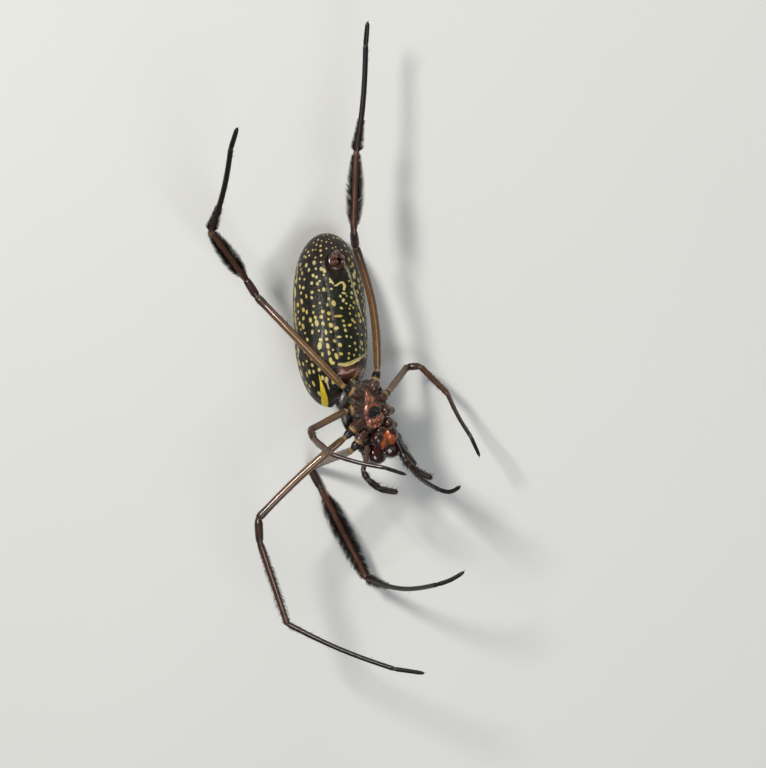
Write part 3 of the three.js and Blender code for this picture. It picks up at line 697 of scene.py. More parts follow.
# For each joint from coxa to tarsus, as (share of its length, value): its radius, with a waist where
# two joints meet, and how dark it is, from olive-brown to black
legProfile = [
    [(0, 0.55), (0.2, 0.78), (0.48, 0.77), (0.56, 0.6), (0.6, 0.47), (0.66, 0.62), (0.8, 0.58),
     (0.95, 0.44), (0.99, 0.37)],
    [(0.012, 0.38), (0.05, 0.5), (0.25, 0.57), (0.6, 0.54), (0.9, 0.53), (0.965, 0.58), (0.99, 0.53),
     (1, 0.44)],
    [(0.05, 0.45), (0.2, 0.58), (0.6, 0.58), (0.92, 0.52), (1, 0.42)],
    [(0.015, 0.42), (0.06, 0.5), (0.3, 0.48), (0.7, 0.45), (0.93, 0.43), (0.985, 0.5), (1, 0.4)],
    [(0.012, 0.33), (0.04, 0.39), (0.15, 0.36), (0.5, 0.33), (0.9, 0.32), (0.985, 0.33), (1, 0.26)],
    [(0.03, 0.27), (0.1, 0.31), (0.5, 0.3), (0.85, 0.27), (0.95, 0.22), (1, 0.1)],
]
legDark = [
    [(0, 0.6), (0.3, 0.72), (0.48, 0.6), (0.54, 0.3), (0.6, 0.3), (0.64, 1.0), (1, 0.97)],
    [(0.02, 0.2), (0.3, 0.14), (0.75, 0.3), (0.95, 0.6), (1, 0.8)],
    [(0.05, 0.75), (0.5, 0.62), (1, 0.8)],
    [(0.02, 0.6), (0.2, 0.5), (0.5, 0.42), (0.9, 0.34), (1, 0.3)],
    [(0.02, 0.7), (0.3, 0.9), (1, 0.97)],
    [(0.03, 1.0), (1, 1.0)],
]
legMake = {
    "rootDepth": 0.55, "hipDepth": 0.95,  # below the breast plate's middle
    "step": 0.11, "blur": 0.26, "around": 22,
}


def direction(turn, rise):
    turn, rise = math.radians(turn), math.radians(rise)
    return np.array([math.cos(rise) * math.cos(turn), math.cos(rise) * math.sin(turn), math.sin(rise)])


def roundedLine(points, step, blur):
    # points at an even step along a bent line, each then averaged with its neighbours by a bell curve
    points = np.array(points)
    run = np.concatenate([[0], np.cumsum(np.linalg.norm(np.diff(points, axis=0), axis=1))])
    even = np.linspace(0, run[-1], int(run[-1] / step))
    line = np.stack([np.interp(even, run, points[:, axis]) for axis in range(3)], -1)
    half = int(4 * blur / step)
    weights = np.exp(-0.5 * (np.arange(-half, half + 1) * step / blur) ** 2)
    weights /= weights.sum()
    before = 2 * line[0] - line[half:0:-1]
    after = 2 * line[-1] - line[-2:-half - 2:-1]
    padded = np.concatenate([before, line, after])
    soft = np.stack([np.convolve(padded[:, axis], weights, "valid") for axis in range(3)], -1)
    return soft, even


def tubeFrame(line, normal):
    # along the line, and two directions across it: toward normal and in the bend's plane
    along = unit(np.gradient(line, axis=0))
    side = unit(normal - np.sum(along * normal, -1, keepdims=True) * along)
    return along, side, np.cross(side, along)


def sweep(line, radius, normal, around):
    # rings of one radius each about a line
    _, side, up = tubeFrame(line, np.array(normal, float))
    spin = fullTurn(around)[:, None]
    return line[:, None] + radius[:, None, None] * (
        np.cos(spin) * up[:, None] + np.sin(spin) * side[:, None])


def bendNormal(joined):
    # the direction across the plane in which a line of joints mostly lies
    return np.linalg.svd(joined - joined.mean(0))[2][2]


def legLine(pose):
    # points along the leg, each bowed joint cut in short steps, and where each joint ends along it
    sizes = legSizes[pose["pair"]]
    root, hip = np.array(sizes["root"]), np.array(sizes["hip"])
    hip = root + (hip - root) * pose["reach"]
    start = frontTurn @ np.array([pose["side"] * root[0], root[1], -legMake["rootDepth"]])
    at = frontTurn @ np.array([pose["side"] * hip[0], hip[1], -legMake["hipDepth"]])
    tuck = np.array(pose.get("tuck", (0, 0, 0)))  # the hip pulled in, and back out along the femur
    fold = pose.get("fold", 0.0)                  # how far the patella steps down from the femur
    points = [start, at + tuck]
    ends = [0, float(np.linalg.norm(at + tuck - start))]
    for index, (length, (turn, rise, bow)) in enumerate(zip(sizes["lengths"], pose["ways"])):
        way = direction(turn, rise)
        sideways = unit(np.cross(way, [0, 0, 1]))
        for part in np.linspace(0, 1, 13)[1:]:
            pull = tuck * (1 - part) if index == 0 else 0
            points.append(at + way * length * part + sideways * bow * math.sin(math.pi * part) + pull)
        at = at + way * length
        if index == 0 and fold:
            at = at - np.array([0, 0, fold])
            points.append(at)
        ends.append(ends[-1] + length + (fold / 2 if index < 2 else 0))
    return points, ends


def profiled(run, ends, table):
    # a table of (share, value) rows for each joint, laid end to end and read at each run
    stations = [start + (end - start) * share for start, end, rows in zip(ends, ends[1:], table)
                for share, _ in rows]
    return np.interp(run, stations, [value for rows in table for _, value in rows])


def buildLeg(name, pose):
    # everything that skin and hair need to know at each step along a leg
    points, ends = legLine(pose)
    line, run = roundedLine(points, legMake["step"], legMake["blur"])
    ends = [end * run[-1] / ends[-1] for end in ends]
    sizes = legSizes[pose["pair"]]
    scale = np.where(run < ends[1], 1.0, sizes["thick"])
    scale = scale * (1 + (sizes["foot"] - 1) * smooth(ends[4] - 0.3, ends[4] + 0.6, run))
    radius = np.pad(profiled(run, ends, legProfile) * scale, 1, "edge")
    dark = profiled(run, ends, legDark)
    if pose["pair"] == 3:
        dark = np.where((run > ends[1]) & (run < ends[5]), np.clip(dark * 0.75 + 0.08, 0, 1), dark)
    joined = np.array([line[int(len(line) * end / ends[-1]) - 1] for end in ends[1:]])
    normal = bendNormal(joined)
    knee = joined[1] - (joined[0] + joined[3]) / 2
    if np.dot(tubeFrame(line, normal)[2][int(len(line) * ends[2] / ends[-1])], knee) < 0:
        normal = -normal
    along, side, up = tubeFrame(line, normal)
    # pale rings: the two near the coxa's end are the leg's own yellow rings; the faint ones at the later
    # joints are painted highlight
    pale = sum(bump(run, end, width) * strength for end, width, strength in (
        (ends[1] * 0.575, 0.17, 1.0), (ends[1] + 0.06, 0.17, 0.95), (ends[2], 0.1, 0.2),
        (ends[3], 0.1, 0.15), (ends[4], 0.08, 0.2), (ends[5], 0.08, 0.15)))
    red = smooth(ends[1] * 0.6, ends[1] * 0.5, run) * 0.45
    red = red + 0.75 * smooth(ends[3], ends[3] + 1.5, run) * smooth(ends[4] + 0.3, ends[4], run)
    return {
        "name": name, "pose": pose, "line": line, "run": run, "ends": ends,
        "radius": np.convolve(radius, [0.25, 0.5, 0.25], "valid"), "normal": normal,
        "along": along, "side": side, "up": up,
        "dark": dark, "pale": pale, "red": red, "paintedHighlight": 0 * run}


def tubeShell(tube, around):
    points = sweep(tube["line"], tube["radius"], tube["normal"], around)
    return shell(points, **{key: tube[key][:, None] for key in ("dark", "pale", "red", "paintedHighlight")})


def alongTube(tube, run, key):
    # a tube's own places or directions, read at each run along it
    return np.stack([np.interp(run, tube["run"], tube[key][:, axis]) for axis in range(3)], -1)


def drawn(value, count):
    # a number for each hair: drawn from a range, or as given
    return between(*value, count) if isinstance(value, tuple) else value


def tubeHair(tube, run, length, thick, lean, curl, tall=1, spin=None):
    # hairs at each run along a tube, at a spin from its upper side
    count = len(run)
    length, thick, lean, curl = [drawn(value, count) for value in (length, thick, lean, curl)]
    spin = between(0, 2 * math.pi, count) if spin is None else spin
    along = unit(alongTube(tube, run, "along"))
    out = unit(np.cos(spin)[:, None] * alongTube(tube, run, "up")
               + np.sin(spin)[:, None] * alongTube(tube, run, "side"))
    root = alongTube(tube, run, "line") + out * np.interp(run, tube["run"], tube["radius"])[:, None]
    patch = onUnwrap(run / tube["run"][-1], (spin / (2 * math.pi)) % 1)
    return hairs(root, out, along, length * tall, thick, lean, curl, patch)


legCoat = {
    "perMillimetre": 20, "spinesPerMillimetre": 0.55,
    "fan": 24.0, "allRound": 0.08, "lean": (30, 48), "curl": (4, 16),  # the brush's bristles
    "stoutShare": 0.45, "stout": (0.022, 0.034), "thin": (0.011, 0.016),
    "footReach": 0.62, "footTall": [(0, 1), (1, 0.4)],
}


def sideSpin(tube, run):
    # the spin at which a hair stands out to the side as seen from above
    across = np.cross(alongTube(tube, run, "along"), [0.0, 0.0, 1.0])
    return np.arctan2(np.sum(across * alongTube(tube, run, "side"), -1),
                      np.sum(across * alongTube(tube, run, "up"), -1))


def bristles(leg, share, start, stop, reach, tall):
    # a brush between two places along a leg, most of it at the two sides as seen from above
    count = len(share)
    run = start + (stop - start) * share
    spin = sideSpin(leg, run) + math.pi * chance.integers(0, 2, count)
    spin = spin + np.radians(chance.normal(0, legCoat["fan"], count))
    spin = np.where(chance.random(count) < legCoat["allRound"], between(0, 2 * math.pi, count), spin)
    lean, curl = between(*legCoat["lean"], count), between(*legCoat["curl"], count)
    length = reach * readOff(tall, share) * between(0.5, 1.0, count)
    length = length / np.cos(np.radians(lean + curl / 2))
    stout = chance.random(count) < legCoat["stoutShare"] * min(1, reach)
    thick = np.where(stout, between(*legCoat["stout"], count), between(*legCoat["thin"], count))
    return tubeHair(leg, run, length, thick, lean, curl, spin=spin)


def legHair(leg):
    sizes, ends = legSizes[leg["pose"]["pair"]], leg["ends"]
    brush, total = sizes["brush"], ends[-1] - ends[1]
    # short hairs that lie along the leg, shorter toward its end
    run = between(ends[1] * 0.2, ends[-1] - 0.25, int(total * legCoat["perMillimetre"]))
    fine = tubeHair(leg, run, (0.2, 0.36), (0.009, 0.013), (46, 62), (5, 18), np.where(run > ends[4], 0.8, 1))
    # long bristles on the tibia, then shorter ones on the foot
    onTibia = bristles(
        leg, chance.beta(1.2, 1.1, brush["count"]), ends[3] + (ends[4] - ends[3]) * brush["from"],
        ends[4] - 0.5, brush["reach"], brush["tall"])
    onFoot = bristles(
        leg, chance.random(brush["onFoot"]) ** 1.4, ends[4] + 0.2, ends[4] + (ends[5] - ends[4]) * 0.3,
        brush["reach"] * legCoat["footReach"], legCoat["footTall"])
    # a few stiff spines that stand out along the whole leg
    run = between(ends[1] + 1.5, ends[5], int(total * legCoat["spinesPerMillimetre"]))
    spines = tubeHair(leg, run, (0.55, 0.95), (0.022, 0.03), (42, 58), (0, 10), sizes["thick"])
    return [fine, spines, onTibia, onFoot]


def legMaterial():
    material, tree, shader = newMaterial("leg shell", specular=0.3, coatRough=0.08)
    dark = mark(tree, "dark")
    colour = mixed(tree, ranged(tree, dark, 0.05, 0.6), rgb(0.185, 0.088, 0.018), rgb(0.052, 0.020, 0.010))
    colour = mixed(tree, ranged(tree, dark, 0.55, 0.95), colour, rgb(0.006, 0.004, 0.0035))
    # the pinkish paint is a painted highlight, on the left palp's base only
    for name, paint in (("red", rgb(0.085, 0.030, 0.016)), ("paintedHighlight", rgb(0.52, 0.33, 0.27)),
                        ("pale", rgb(0.40, 0.25, 0.075))):
        colour = mixed(tree, mark(tree, name), colour, paint)
    grained(tree, shader, {
        "cloud": 1100.0, "pit": 7000.0, "depth": 0.5, "shadow": rgb(0.6, 0.55, 0.5),
        "smooth": 0.3, "rough": 0.48, "relief": 0.45}, colour)
    tree.links.new(ranged(tree, dark, 0.4, 1.0, 0.7, 0.12), shader.inputs["Coat Weight"])
    return material


legShellMaterial = legMaterial()
legs = [buildLeg(name, pose) for name, pose in legPose.items()]
for leg in legs:
    parts = [f"{leg['name']}_{part}" for part in ("coxa", "femur", "patella", "tibia", "foot")]
    makePiece(leg["name"] + "_shell", [tubeShell(leg, legMake["around"])], legShellMaterial,
              parts)
    makePiece(leg["name"] + "_hair", legHair(leg), blackHair)
coxaHair = []
for leg in legs:
    run = between(leg["ends"][1] * 0.1, leg["ends"][1] * 0.55, 90 if leg["pose"]["side"] > 0 else 45)
    coxaHair.append(tubeHair(leg, run, (0.2, 0.42), (0.010, 0.016), (35, 62), (5, 18)))
makePiece("coxaHair", coxaHair, silverHair)
print("legs done")


# Claws: two bent hooks at the end of each foot

claw = {"length": 0.34, "size": 0.045, "spread": 0.25, "bend": 0.75, "rootDepth": 0.1}


def plainMaterial(name, colour, values, coat):
    material, tree, shader = newMaterial(name, coat=coat, coatRough=0.1)
    grained(tree, shader, values, colour)
    return material


def hook(start, way, side, aside):
    # a small horn that starts along way, opens sideways and bends down
    down = np.cross(side, way)
    part = np.linspace(0, 1, 14)[:, None]
    opened = side * aside * claw["spread"] * np.sin(part * 2.2)
    line = start + claw["length"] * (way * part + opened - down * claw["bend"] * part ** 2.2)
    radius = claw["size"] * (1 - part[:, 0]) ** 0.75 + 0.004
    return shell(sweep(line, radius, side, 10))


clawMaterial = plainMaterial("claw horn", rgb(0.012, 0.008, 0.006), {
    "cloud": 1500.0, "pit": 9000.0, "depth": 0.3, "shadow": rgb(0.5, 0.5, 0.5),
    "smooth": 0.18, "rough": 0.3, "relief": 0.3}, 0.5)
claws = []
for leg in legs:
    tip, way, side = leg["line"][-1], leg["along"][-1], leg["side"][-1]
    claws += [hook(tip - way * claw["rootDepth"], way, side, aside) for aside in (-1, 1)]
makePiece("claws", claws, clawMaterial)


# Front body, in its own frame: back shell, breast plate and the skin between them

carapace = {
    "frontY": -4.9, "length": 8.6, "width": 7.2, "headWidth": 4.1, "undersideZ": -1.7,
    "thoraxHeight": 2.4, "headHeight": 3.2, "pitY": 0.35, "rows": 150, "around": 120, "hairs": 9000,
}


def crown(values, middle, half, power):
    # 1 at the middle and 0 at half away from it: the root of one less a power of the distance
    return np.sqrt(np.clip(1 - np.abs((values - middle) / half) ** power, 0, None))


def larger(*values):
    # the largest of some values, with a soft change from one to another
    return sum(value ** 6.0 for value in values) ** (1 / 6.0)


def carapaceSurface():
    # rings along the body: a wide low oval behind, a narrow high one over the head, joined by their
    # larger; grooves run out from a pit in the middle of the back, and two mark the head off
    t = np.linspace(0.012, 0.988, carapace["rows"])[:, None]
    angle = fullTurn(carapace["around"])[None]
    thorax, head = crown(t, 0.58, 0.46, 2.4), crown(t, 0.24, 0.26, 3)
    wide = larger(carapace["width"] / 2 * thorax, carapace["headWidth"] / 2 * head, 0.35)
    tall = larger(carapace["thoraxHeight"] * thorax, carapace["headHeight"] * head, 0.4)
    dorsal = -np.sin(angle)
    x = wide * np.cos(angle)
    z = carapace["undersideZ"] - 0.5 + np.where(dorsal < 0, tall - 0.5, 0.5) * dorsal
    y = carapace["frontY"] + carapace["length"] * t + 0 * angle
    back = smooth(0.0, -0.4, dorsal)
    fromPit = np.hypot(x, y - carapace["pitY"])
    turn = np.arctan2(np.abs(x), y - carapace["pitY"])
    grooves = 0.09 * np.cos(turn * 7.5) * bump(fromPit, 1.6, 0.9)
    neck = 0.16 * bump(np.abs(x) - 0.55 * (0.6 - y), 0, 0.22) * smooth(0.6, 0.0, y) * smooth(-3.2, -2.2, y)
    pit = 0.4 * bump(x, 0, 0.42) * bump(y, carapace["pitY"], 0.22)
    rim = bump(dorsal, -0.1, 0.1) * 0.06
    return fromFront(np.stack([x * (1 + rim), y, z + (grooves + neck + pit) * back], -1)), back


def blob(middle, radii, rows, around, pinch=2.0):
    # an oval body whose outline follows a power curve
    rise = np.linspace(-math.pi / 2 + 0.02, math.pi / 2 - 0.02, rows)[:, None]
    spin = fullTurn(around)[None]
    level = np.sign(np.sin(rise)) * np.abs(np.sin(rise)) ** (2 / pinch)
    reach = np.abs(np.cos(rise)) ** (2 / pinch)
    x = middle[0] + radii[0] * reach * np.cos(spin)
    y = middle[1] + radii[1] * reach * np.sin(spin)
    return np.stack([x, y, middle[2] + radii[2] * level + 0 * spin], -1)


def carapaceCover():
    material, tree, shader = newMaterial("carapace shell", coat=0.5, coatRough=0.2)
    much = ranged(tree, cloudy(tree, 1400.0, 4.0, 0.65).outputs["Fac"], 0.4, 0.6)
    grained(tree, shader, {
        "cloud": 900.0, "pit": 6000.0, "depth": 0.5, "shadow": rgb(0.6, 0.55, 0.5),
        "smooth": 0.3, "rough": 0.5, "relief": 0.5},
        mixed(tree, much, rgb(0.022, 0.012, 0.008), rgb(0.055, 0.042, 0.032)))
    return material


def gridHair(points, count, length, thick, lean, towards, keep=1.0):
    # hairs rooted at random on a grid surface where keep allows, lying toward a direction
    length, thick, lean = [drawn(value, count) for value in (length, thick, lean)]
    rows, around = points.shape[:2]
    across = np.roll(points, -1, 1) - np.roll(points, 1, 1)
    down = np.gradient(points, axis=0)
    normals = np.cross(across, down) * (-1 if isInsideOut(points) else 1)
    normals = normals / np.maximum(np.linalg.norm(normals, axis=-1, keepdims=True), 1e-9)
    area = np.linalg.norm(np.cross(across / 2, down), axis=-1) * keep
    chosen = chance.choice(rows * around, count, p=area.ravel() / area.sum())
    row, column = chosen // around, chosen % around
    jitter = chance.random((2, count, 1)) - 0.5
    root = points[row, column] + across[row, column] / 2 * jitter[0] + down[row, column] * jitter[1]
    out = normals[row, column]
    toward = np.array(towards, float) + chance.normal(0, 0.5, out.shape) * 0.5
    along = unit(toward - np.sum(toward * out, -1, keepdims=True) * out)
    patch = onUnwrap(row / rows, column / around)
    return hairs(root, out, along, length, thick, lean, between(5, 20, count), patch)


rearward = frontTurn @ np.array([0, 1, 0])
carapaceMaterial = carapaceCover()
carapacePoints, carapaceBack = carapaceSurface()
makePiece("carapaceShell", [shell(carapacePoints)], carapaceMaterial, ["carapace"])
makePiece("carapaceHair", [gridHair(
    carapacePoints, carapace["hairs"], (0.2, 0.42), (0.010, 0.016), (55, 76), rearward,
    0.04 + carapaceBack ** 2)], silverHair)


sternum = {
    "frontY": -2.6, "rearY": 2.85, "halfWidth": 1.42, "thickness": 0.42, "rows": 90, "around": 64,
    "lobeY": 0.05, "lobeStep": 1.55, "hairs": 420,
    "blotch": {"at": (0.22, -0.38), "size": (1.08, 0.82), "fade": (1.35, 0.55)},
}


def sternumSurface():
    # a shield: its half width grows fast in front, then narrows to a point, with a notch at each leg
    # and a low boss between the notches; the top is slightly domed and lumpy
    t = np.linspace(0.012, 0.99, sternum["rows"])[:, None]
    angle = fullTurn(sternum["around"])[None]
    y = sternum["frontY"] + (sternum["rearY"] - sternum["frontY"]) * t
    lobes = np.cos(2 * math.pi * (y - sternum["lobeY"]) / sternum["lobeStep"])
    half = sternum["halfWidth"] * np.clip(t / 0.16, 0, 1) ** 0.35 * np.clip((1 - t) / 0.62, 0, 1) ** 0.75
    half = half * (1 + 0.07 * lobes)
    flat = np.sign(np.sin(angle)) * np.abs(np.sin(angle)) ** 0.7
    x = half * np.sign(np.cos(angle)) * np.abs(np.cos(angle)) ** 0.8
    bosses = 0.2 * bump(np.abs(x), 0.85, 0.3) * (0.5 + 0.5 * lobes)
    middle = 0.22 * bump(x, 0, 0.6) * bump(y, -1.7, 0.5) + 0.16 * bump(x, 0, 0.6) * bump(y, 1.4, 0.5)
    dome = 0.12 + 0.1 * half / sternum["halfWidth"] + bosses + middle
    lumps = 0.09 * np.sin(5.2 * x + 2.6 * y) * np.sin(4.1 * y - 3.3 * x + 1) + 0.05 * np.sin(9 * x - 7 * y)
    lumps = lumps * smooth(0, 0.5, flat) * smooth(0.02, 0.3, half - np.abs(x) + 0.15)
    z = -0.30 + np.where(flat > 0, dome, sternum["thickness"]) * flat + lumps
    y = y + 0 * angle
    return fromFront(np.stack([x, y, z], -1)), x, y


def breastMaterial():
    # clouded red-brown, with a net of dark lines between small plates painted as shade in their grooves, and
    # a ragged dark blotch
    material, tree, shader = newMaterial("breast plate", specular=0.35, coatRough=0.13)
    much = ranged(tree, cloudy(tree, 1500.0, 3.0).outputs["Fac"], 0.35, 0.65)
    colour = mixed(tree, much, rgb(0.36, 0.095, 0.035), rgb(0.56, 0.24, 0.15))
    bent = node(tree, "VectorMath", {0: cloudy(tree, 1300.0, 2.0).outputs["Color"], "Scale": 0.9 * mm},
                operation="SCALE")
    place = node(tree, "TexCoord").outputs["Object"]
    moved = node(tree, "VectorMath", {0: place, 1: bent.outputs[0]}, operation="ADD")
    # dark lines between the small plates: painted shade standing in for the grooves between them
    grooveNet = node(tree, "TexVoronoi", {"Vector": moved.outputs[0], "Scale": 1150.0},
                  feature="DISTANCE_TO_EDGE")
    grooveShade = ranged(tree, grooveNet.outputs["Distance"], 0.02, 0.2, 0.85, 0.0)
    colour = mixed(tree, grooveShade, colour, rgb(0.085, 0.022, 0.014))
    ragged = ranged(tree, cloudy(tree, 1900.0, 3.0).outputs["Fac"], 0.0, 1.0, -1.1, 1.1)
    cover = ranged(tree, added(tree, mark(tree, "blotch"), ragged), 0.3, 0.5)
    for factor, paint in ((cover, rgb(0.014, 0.013, 0.013)), (mark(tree, "orange"), rgb(0.50, 0.105, 0.018)),
                          (mark(tree, "black"), rgb(0.016, 0.006, 0.006))):
        colour = mixed(tree, factor, colour, paint)
    grained(tree, shader, {
        "cloud": 2200.0, "pit": 4300.0, "depth": 0.9, "shadow": rgb(0.45, 0.33, 0.30),
        "smooth": 0.16, "rough": 0.36, "relief": 0.75}, colour)
    tree.links.new(ranged(tree, cover, 0.0, 1.0, 0.55, 0.06), shader.inputs["Coat Weight"])
    return material


breast = breastMaterial()
sternumPoints, sternumX, sternumY = sternumSurface()
blotchAt, blotchSize = sternum["blotch"]["at"], sternum["blotch"]["size"]
fromBlotch = np.hypot((sternumX - blotchAt[0]) / blotchSize[0], (sternumY - blotchAt[1]) / blotchSize[1])
blotch = smooth(*sternum["blotch"]["fade"], fromBlotch)
makePiece("sternumPlate", [shell(sternumPoints, blotch=blotch, orange=0, black=0)], breast,
          ["sternum"])
makePiece("sternumHair", [gridHair(
    sternumPoints, sternum["hairs"], (0.25, 0.6), (0.009, 0.014), (20, 50), rearward, 1.02 - blotch)],
    goldHair)

# The soft skin under the breast plate, from which the legs grow, the skin of the face, and the waist
softSkin = {
    "under": ((0, 0.1, -1.3), (2.55, 3.6, 0.8)), "face": ((0, -5.15, -2.75), (2.2, 1.5, 1.7)), "hairs": 900,
    "waist": [(0, 2.9, -2.3), (-0.1, 3.7, -2.6), (-0.15, 4.2, -3.1), (-0.2, 4.8, -3.9)], "waistRadius": 0.44,
}
underSkin = fromFront(blob(*softSkin["under"], 60, 80, 2.6))
faceSkin = fromFront(blob(*softSkin["face"], 44, 52))
underMaterial = plainMaterial("soft skin", rgb(0.055, 0.026, 0.016), {
    "cloud": 1300.0, "pit": 3600.0, "depth": 0.8, "shadow": rgb(0.5, 0.45, 0.4),
    "smooth": 0.35, "rough": 0.55, "relief": 0.9}, 0.1)
makePiece("softSkin", [shell(underSkin), shell(faceSkin)], underMaterial)
waistLine, waistRun = roundedLine(softSkin["waist"], 0.06, 0.1)
waist = sweep(waistLine, softSkin["waistRadius"] + 0.03 * np.cos(waistRun * 9), (0, 0, 1), 28)
waistMaterial = plainMaterial("waist skin", rgb(0.10, 0.06, 0.018), {
    "cloud": 1300.0, "pit": 3600.0, "depth": 0.8, "shadow": rgb(0.4, 0.35, 0.3),
    "smooth": 0.25, "rough": 0.45, "relief": 0.8}, 0.3)
makePiece("waistSkin", [shell(fromFront(waist))], waistMaterial, ["pedicel"])
for name, points, lean, towards in (("softSkinHair", underSkin, (30, 60), rearward),
                                    ("mouthSkinHair", faceSkin, (35, 65), -rearward)):
    makePiece(name, [gridHair(points, softSkin["hairs"], (0.2, 0.4), (0.009, 0.014), lean, towards)],
              silverHair)
print("front body done")


# Mouth: two paddles with fringed edges, the lip between them, jaws and fangs

mouth = {
    "middleX": 0.56, "paddleAside": 1.02, "paddleY": -4.3, "paddleSize": (1.08, 1.34, 0.95), "fringe": 320,
    "lip": ((0.4, -3.25, -0.25), (0.8, 0.68, 0.6)),
}


def paddle(side):
    points = blob((side * mouth["paddleAside"] + mouth["middleX"], mouth["paddleY"], 0.0),
                  mouth["paddleSize"], 44, 44, 2.2)
    # turned in and down toward its front end
    front = smooth(-3.6, -4.8, points[..., 1])
    points[..., 0] += -side * 0.12 * front
    points[..., 2] -= 0.1 * front
    return points


paddles = [(side, paddle(side)) for side in (-1, 1)]
mouthShells = []
for side, points in paddles:
    fromMiddle = side * (points[..., 0] - mouth["middleX"])
    outer = smooth(1.05, 1.45, fromMiddle + 0.75 * smooth(-4.6, -3.6, points[..., 1]))
    mouthShells.append(shell(fromFront(points), blotch=0, orange=0.95 - 0.95 * outer, black=0.92 * outer))
lip = fromFront(blob(*mouth["lip"], 36, 36, 2.2))
mouthShells.append(shell(lip, blotch=0, orange=0, black=0.93))
makePiece("mouthParts", mouthShells, breast, ["mouthparts"])
fringes = []
for side, points in paddles:
    inner = smooth(0.75, 0.45, side * (points[..., 0] - mouth["middleX"]))
    inner = inner * smooth(-3.9, -4.4, points[..., 1])
    fringes.append(gridHair(
        fromFront(points), mouth["fringe"], (0.25, 0.5), (0.009, 0.013), (25, 60),
        frontTurn @ np.array([0, -1, 0.4]), inner + 0.01))
fringeHair = hairMaterial("fringe", rgb(0.12, 0.04, 0.02), rgb(0.30, 0.13, 0.06), 0.45)
makePiece("mouthFringe", fringes, fringeHair)

jaw = {
    "base": (1.25, -6.0, -3.3), "tip": (1.12, -6.15, 0.22), "aside": 0.32, "bow": (0.06, -0.12, 0),
    "radius": [(0, 0.4), (0.05, 0.85), (0.2, 1.25), (0.5, 1.4), (0.75, 1.4), (0.9, 1.22), (0.97, 0.86),
               (1, 0.35)],
    "fang": ((1.08, -6.15, -0.05), (1.0, -6.1, 1.15), (0.25, -5.6, 0.62)), "fangThick": 0.29,
    "teeth": (47, 50, 53), "toothAt": (-0.85, 0.8, 0.0), "toothWay": (-0.13, 0.195, 0.117),
    "toothThick": 0.07, "hairs": 260,
}


def onSide(point, side):
    # a place on the spider's right, or its mirror image on the left
    return np.array(point) * (side, 1, 1)


def bowedLine(start, end, bow, count):
    # points from start to end, pushed off by bow at the middle, and each point's share of the way
    part = np.linspace(0, 1, count)
    return start + (end - start) * part[:, None] + np.sin(math.pi * part)[:, None] * bow, part


def jawLine(side):
    base, tip, bow = (onSide(jaw[key], side) for key in ("base", "tip", "bow"))
    line, part = bowedLine(base, tip, bow, 60)
    return line + (jaw["aside"], 0, 0), part


def jawShell(side):
    line, part = jawLine(side)
    radius = np.pad(readOff(jaw["radius"], part), 2, "edge")
    return sweep(line, np.convolve(radius, [0.1, 0.2, 0.4, 0.2, 0.1], "valid"), (1, 0, 0), 40)


def fangShell(side):
    # a curve bent toward one point, thinning to its end
    part = np.linspace(0, 1, 30)[:, None]
    start, bend, end = (onSide(point, side) + (jaw["aside"], 0, 0) for point in jaw["fang"])
    line = start * (1 - part) ** 2 + 2 * bend * part * (1 - part) + end * part ** 2
    return sweep(line, jaw["fangThick"] * (1 - part[:, 0]) ** 0.6 + 0.012, (0, 1, 0.3), 18)


def tooth(side, station):
    # a short cone on the jaw's inner edge
    step = np.linspace(0, 1, 8)[:, None]
    line = jawLine(side)[0][station] + onSide(jaw["toothAt"], side) + onSide(jaw["toothWay"], side) * step
    return sweep(line, jaw["toothThick"] * (1 - step[:, 0]) ** 0.8 + 0.006, (1, 0.3, 0), 8)


jawMaterial = plainMaterial("jaw lacquer", rgb(0.045, 0.004, 0.003), {
    "cloud": 700.0, "pit": 5000.0, "depth": 0.15, "shadow": rgb(0.35, 0.3, 0.3),
    "smooth": 0.1, "rough": 0.2, "relief": 0.2}, 0.8)
jaws = [("left", -1), ("right", 1)]
jawPoints = [fromFront(jawShell(side)) for _, side in jaws]
for (word, side), points in zip(jaws, jawPoints):
    makePiece("jaw_" + word, [shell(points)], jawMaterial, ["chelicera_" + word])
for word, side in jaws:
    bites = [fangShell(side)] + [tooth(side, station) for station in jaw["teeth"]]
    makePiece("fang_" + word + "_piece", [shell(fromFront(points)) for points in bites], clawMaterial,
              ["fang_" + word])
makePiece("jawHair", [gridHair(
    points, jaw["hairs"], (0.25, 0.6), (0.010, 0.016), (25, 60), frontTurn @ np.array([0, 0.1, 1]))
    for points in jawPoints], blackHair)


# Eyes: eight glossy domes on low mounds

eyes = {
    "radius": 0.22, "mound": (0.27, 0.27, 0.12),
    "middle": [(-0.34, -4.85, -4.78), (0.34, -4.85, -4.78), (-0.34, -4.35, -4.88), (0.34, -4.35, -4.88)],
    "side": [(1.35, -4.6, -4.25), (1.35, -4.25, -4.3)],
    "middleMound": ((0, -4.6, -4.68), (0.74, 0.6, 0.24)),
    "sideMound": ((1.33, -4.42, -4.08), (0.34, 0.46, 0.26)),
}
eyePlaces = eyes["middle"] + [tuple(onSide(place, side)) for side in (-1, 1) for place in eyes["side"]]
eyeMaterial = plainMaterial("eye", rgb(0.006, 0.005, 0.005), {
    "cloud": 900.0, "pit": 8000.0, "depth": 0.0, "shadow": rgb(0.7, 0.7, 0.7),
    "smooth": 0.05, "rough": 0.09, "relief": 0.02}, 1.0)
makePiece("eyes", [shell(fromFront(blob(at, (eyes["radius"],) * 3, 24, 24))) for at in eyePlaces],
          eyeMaterial, ["eyes_middle", "eyes_left", "eyes_right"])
sideMound, sideMoundSize = eyes["sideMound"]
mounds = [blob(*eyes["middleMound"], 30, 30)]
mounds += [blob(onSide(sideMound, side), sideMoundSize, 24, 24) for side in (-1, 1)]
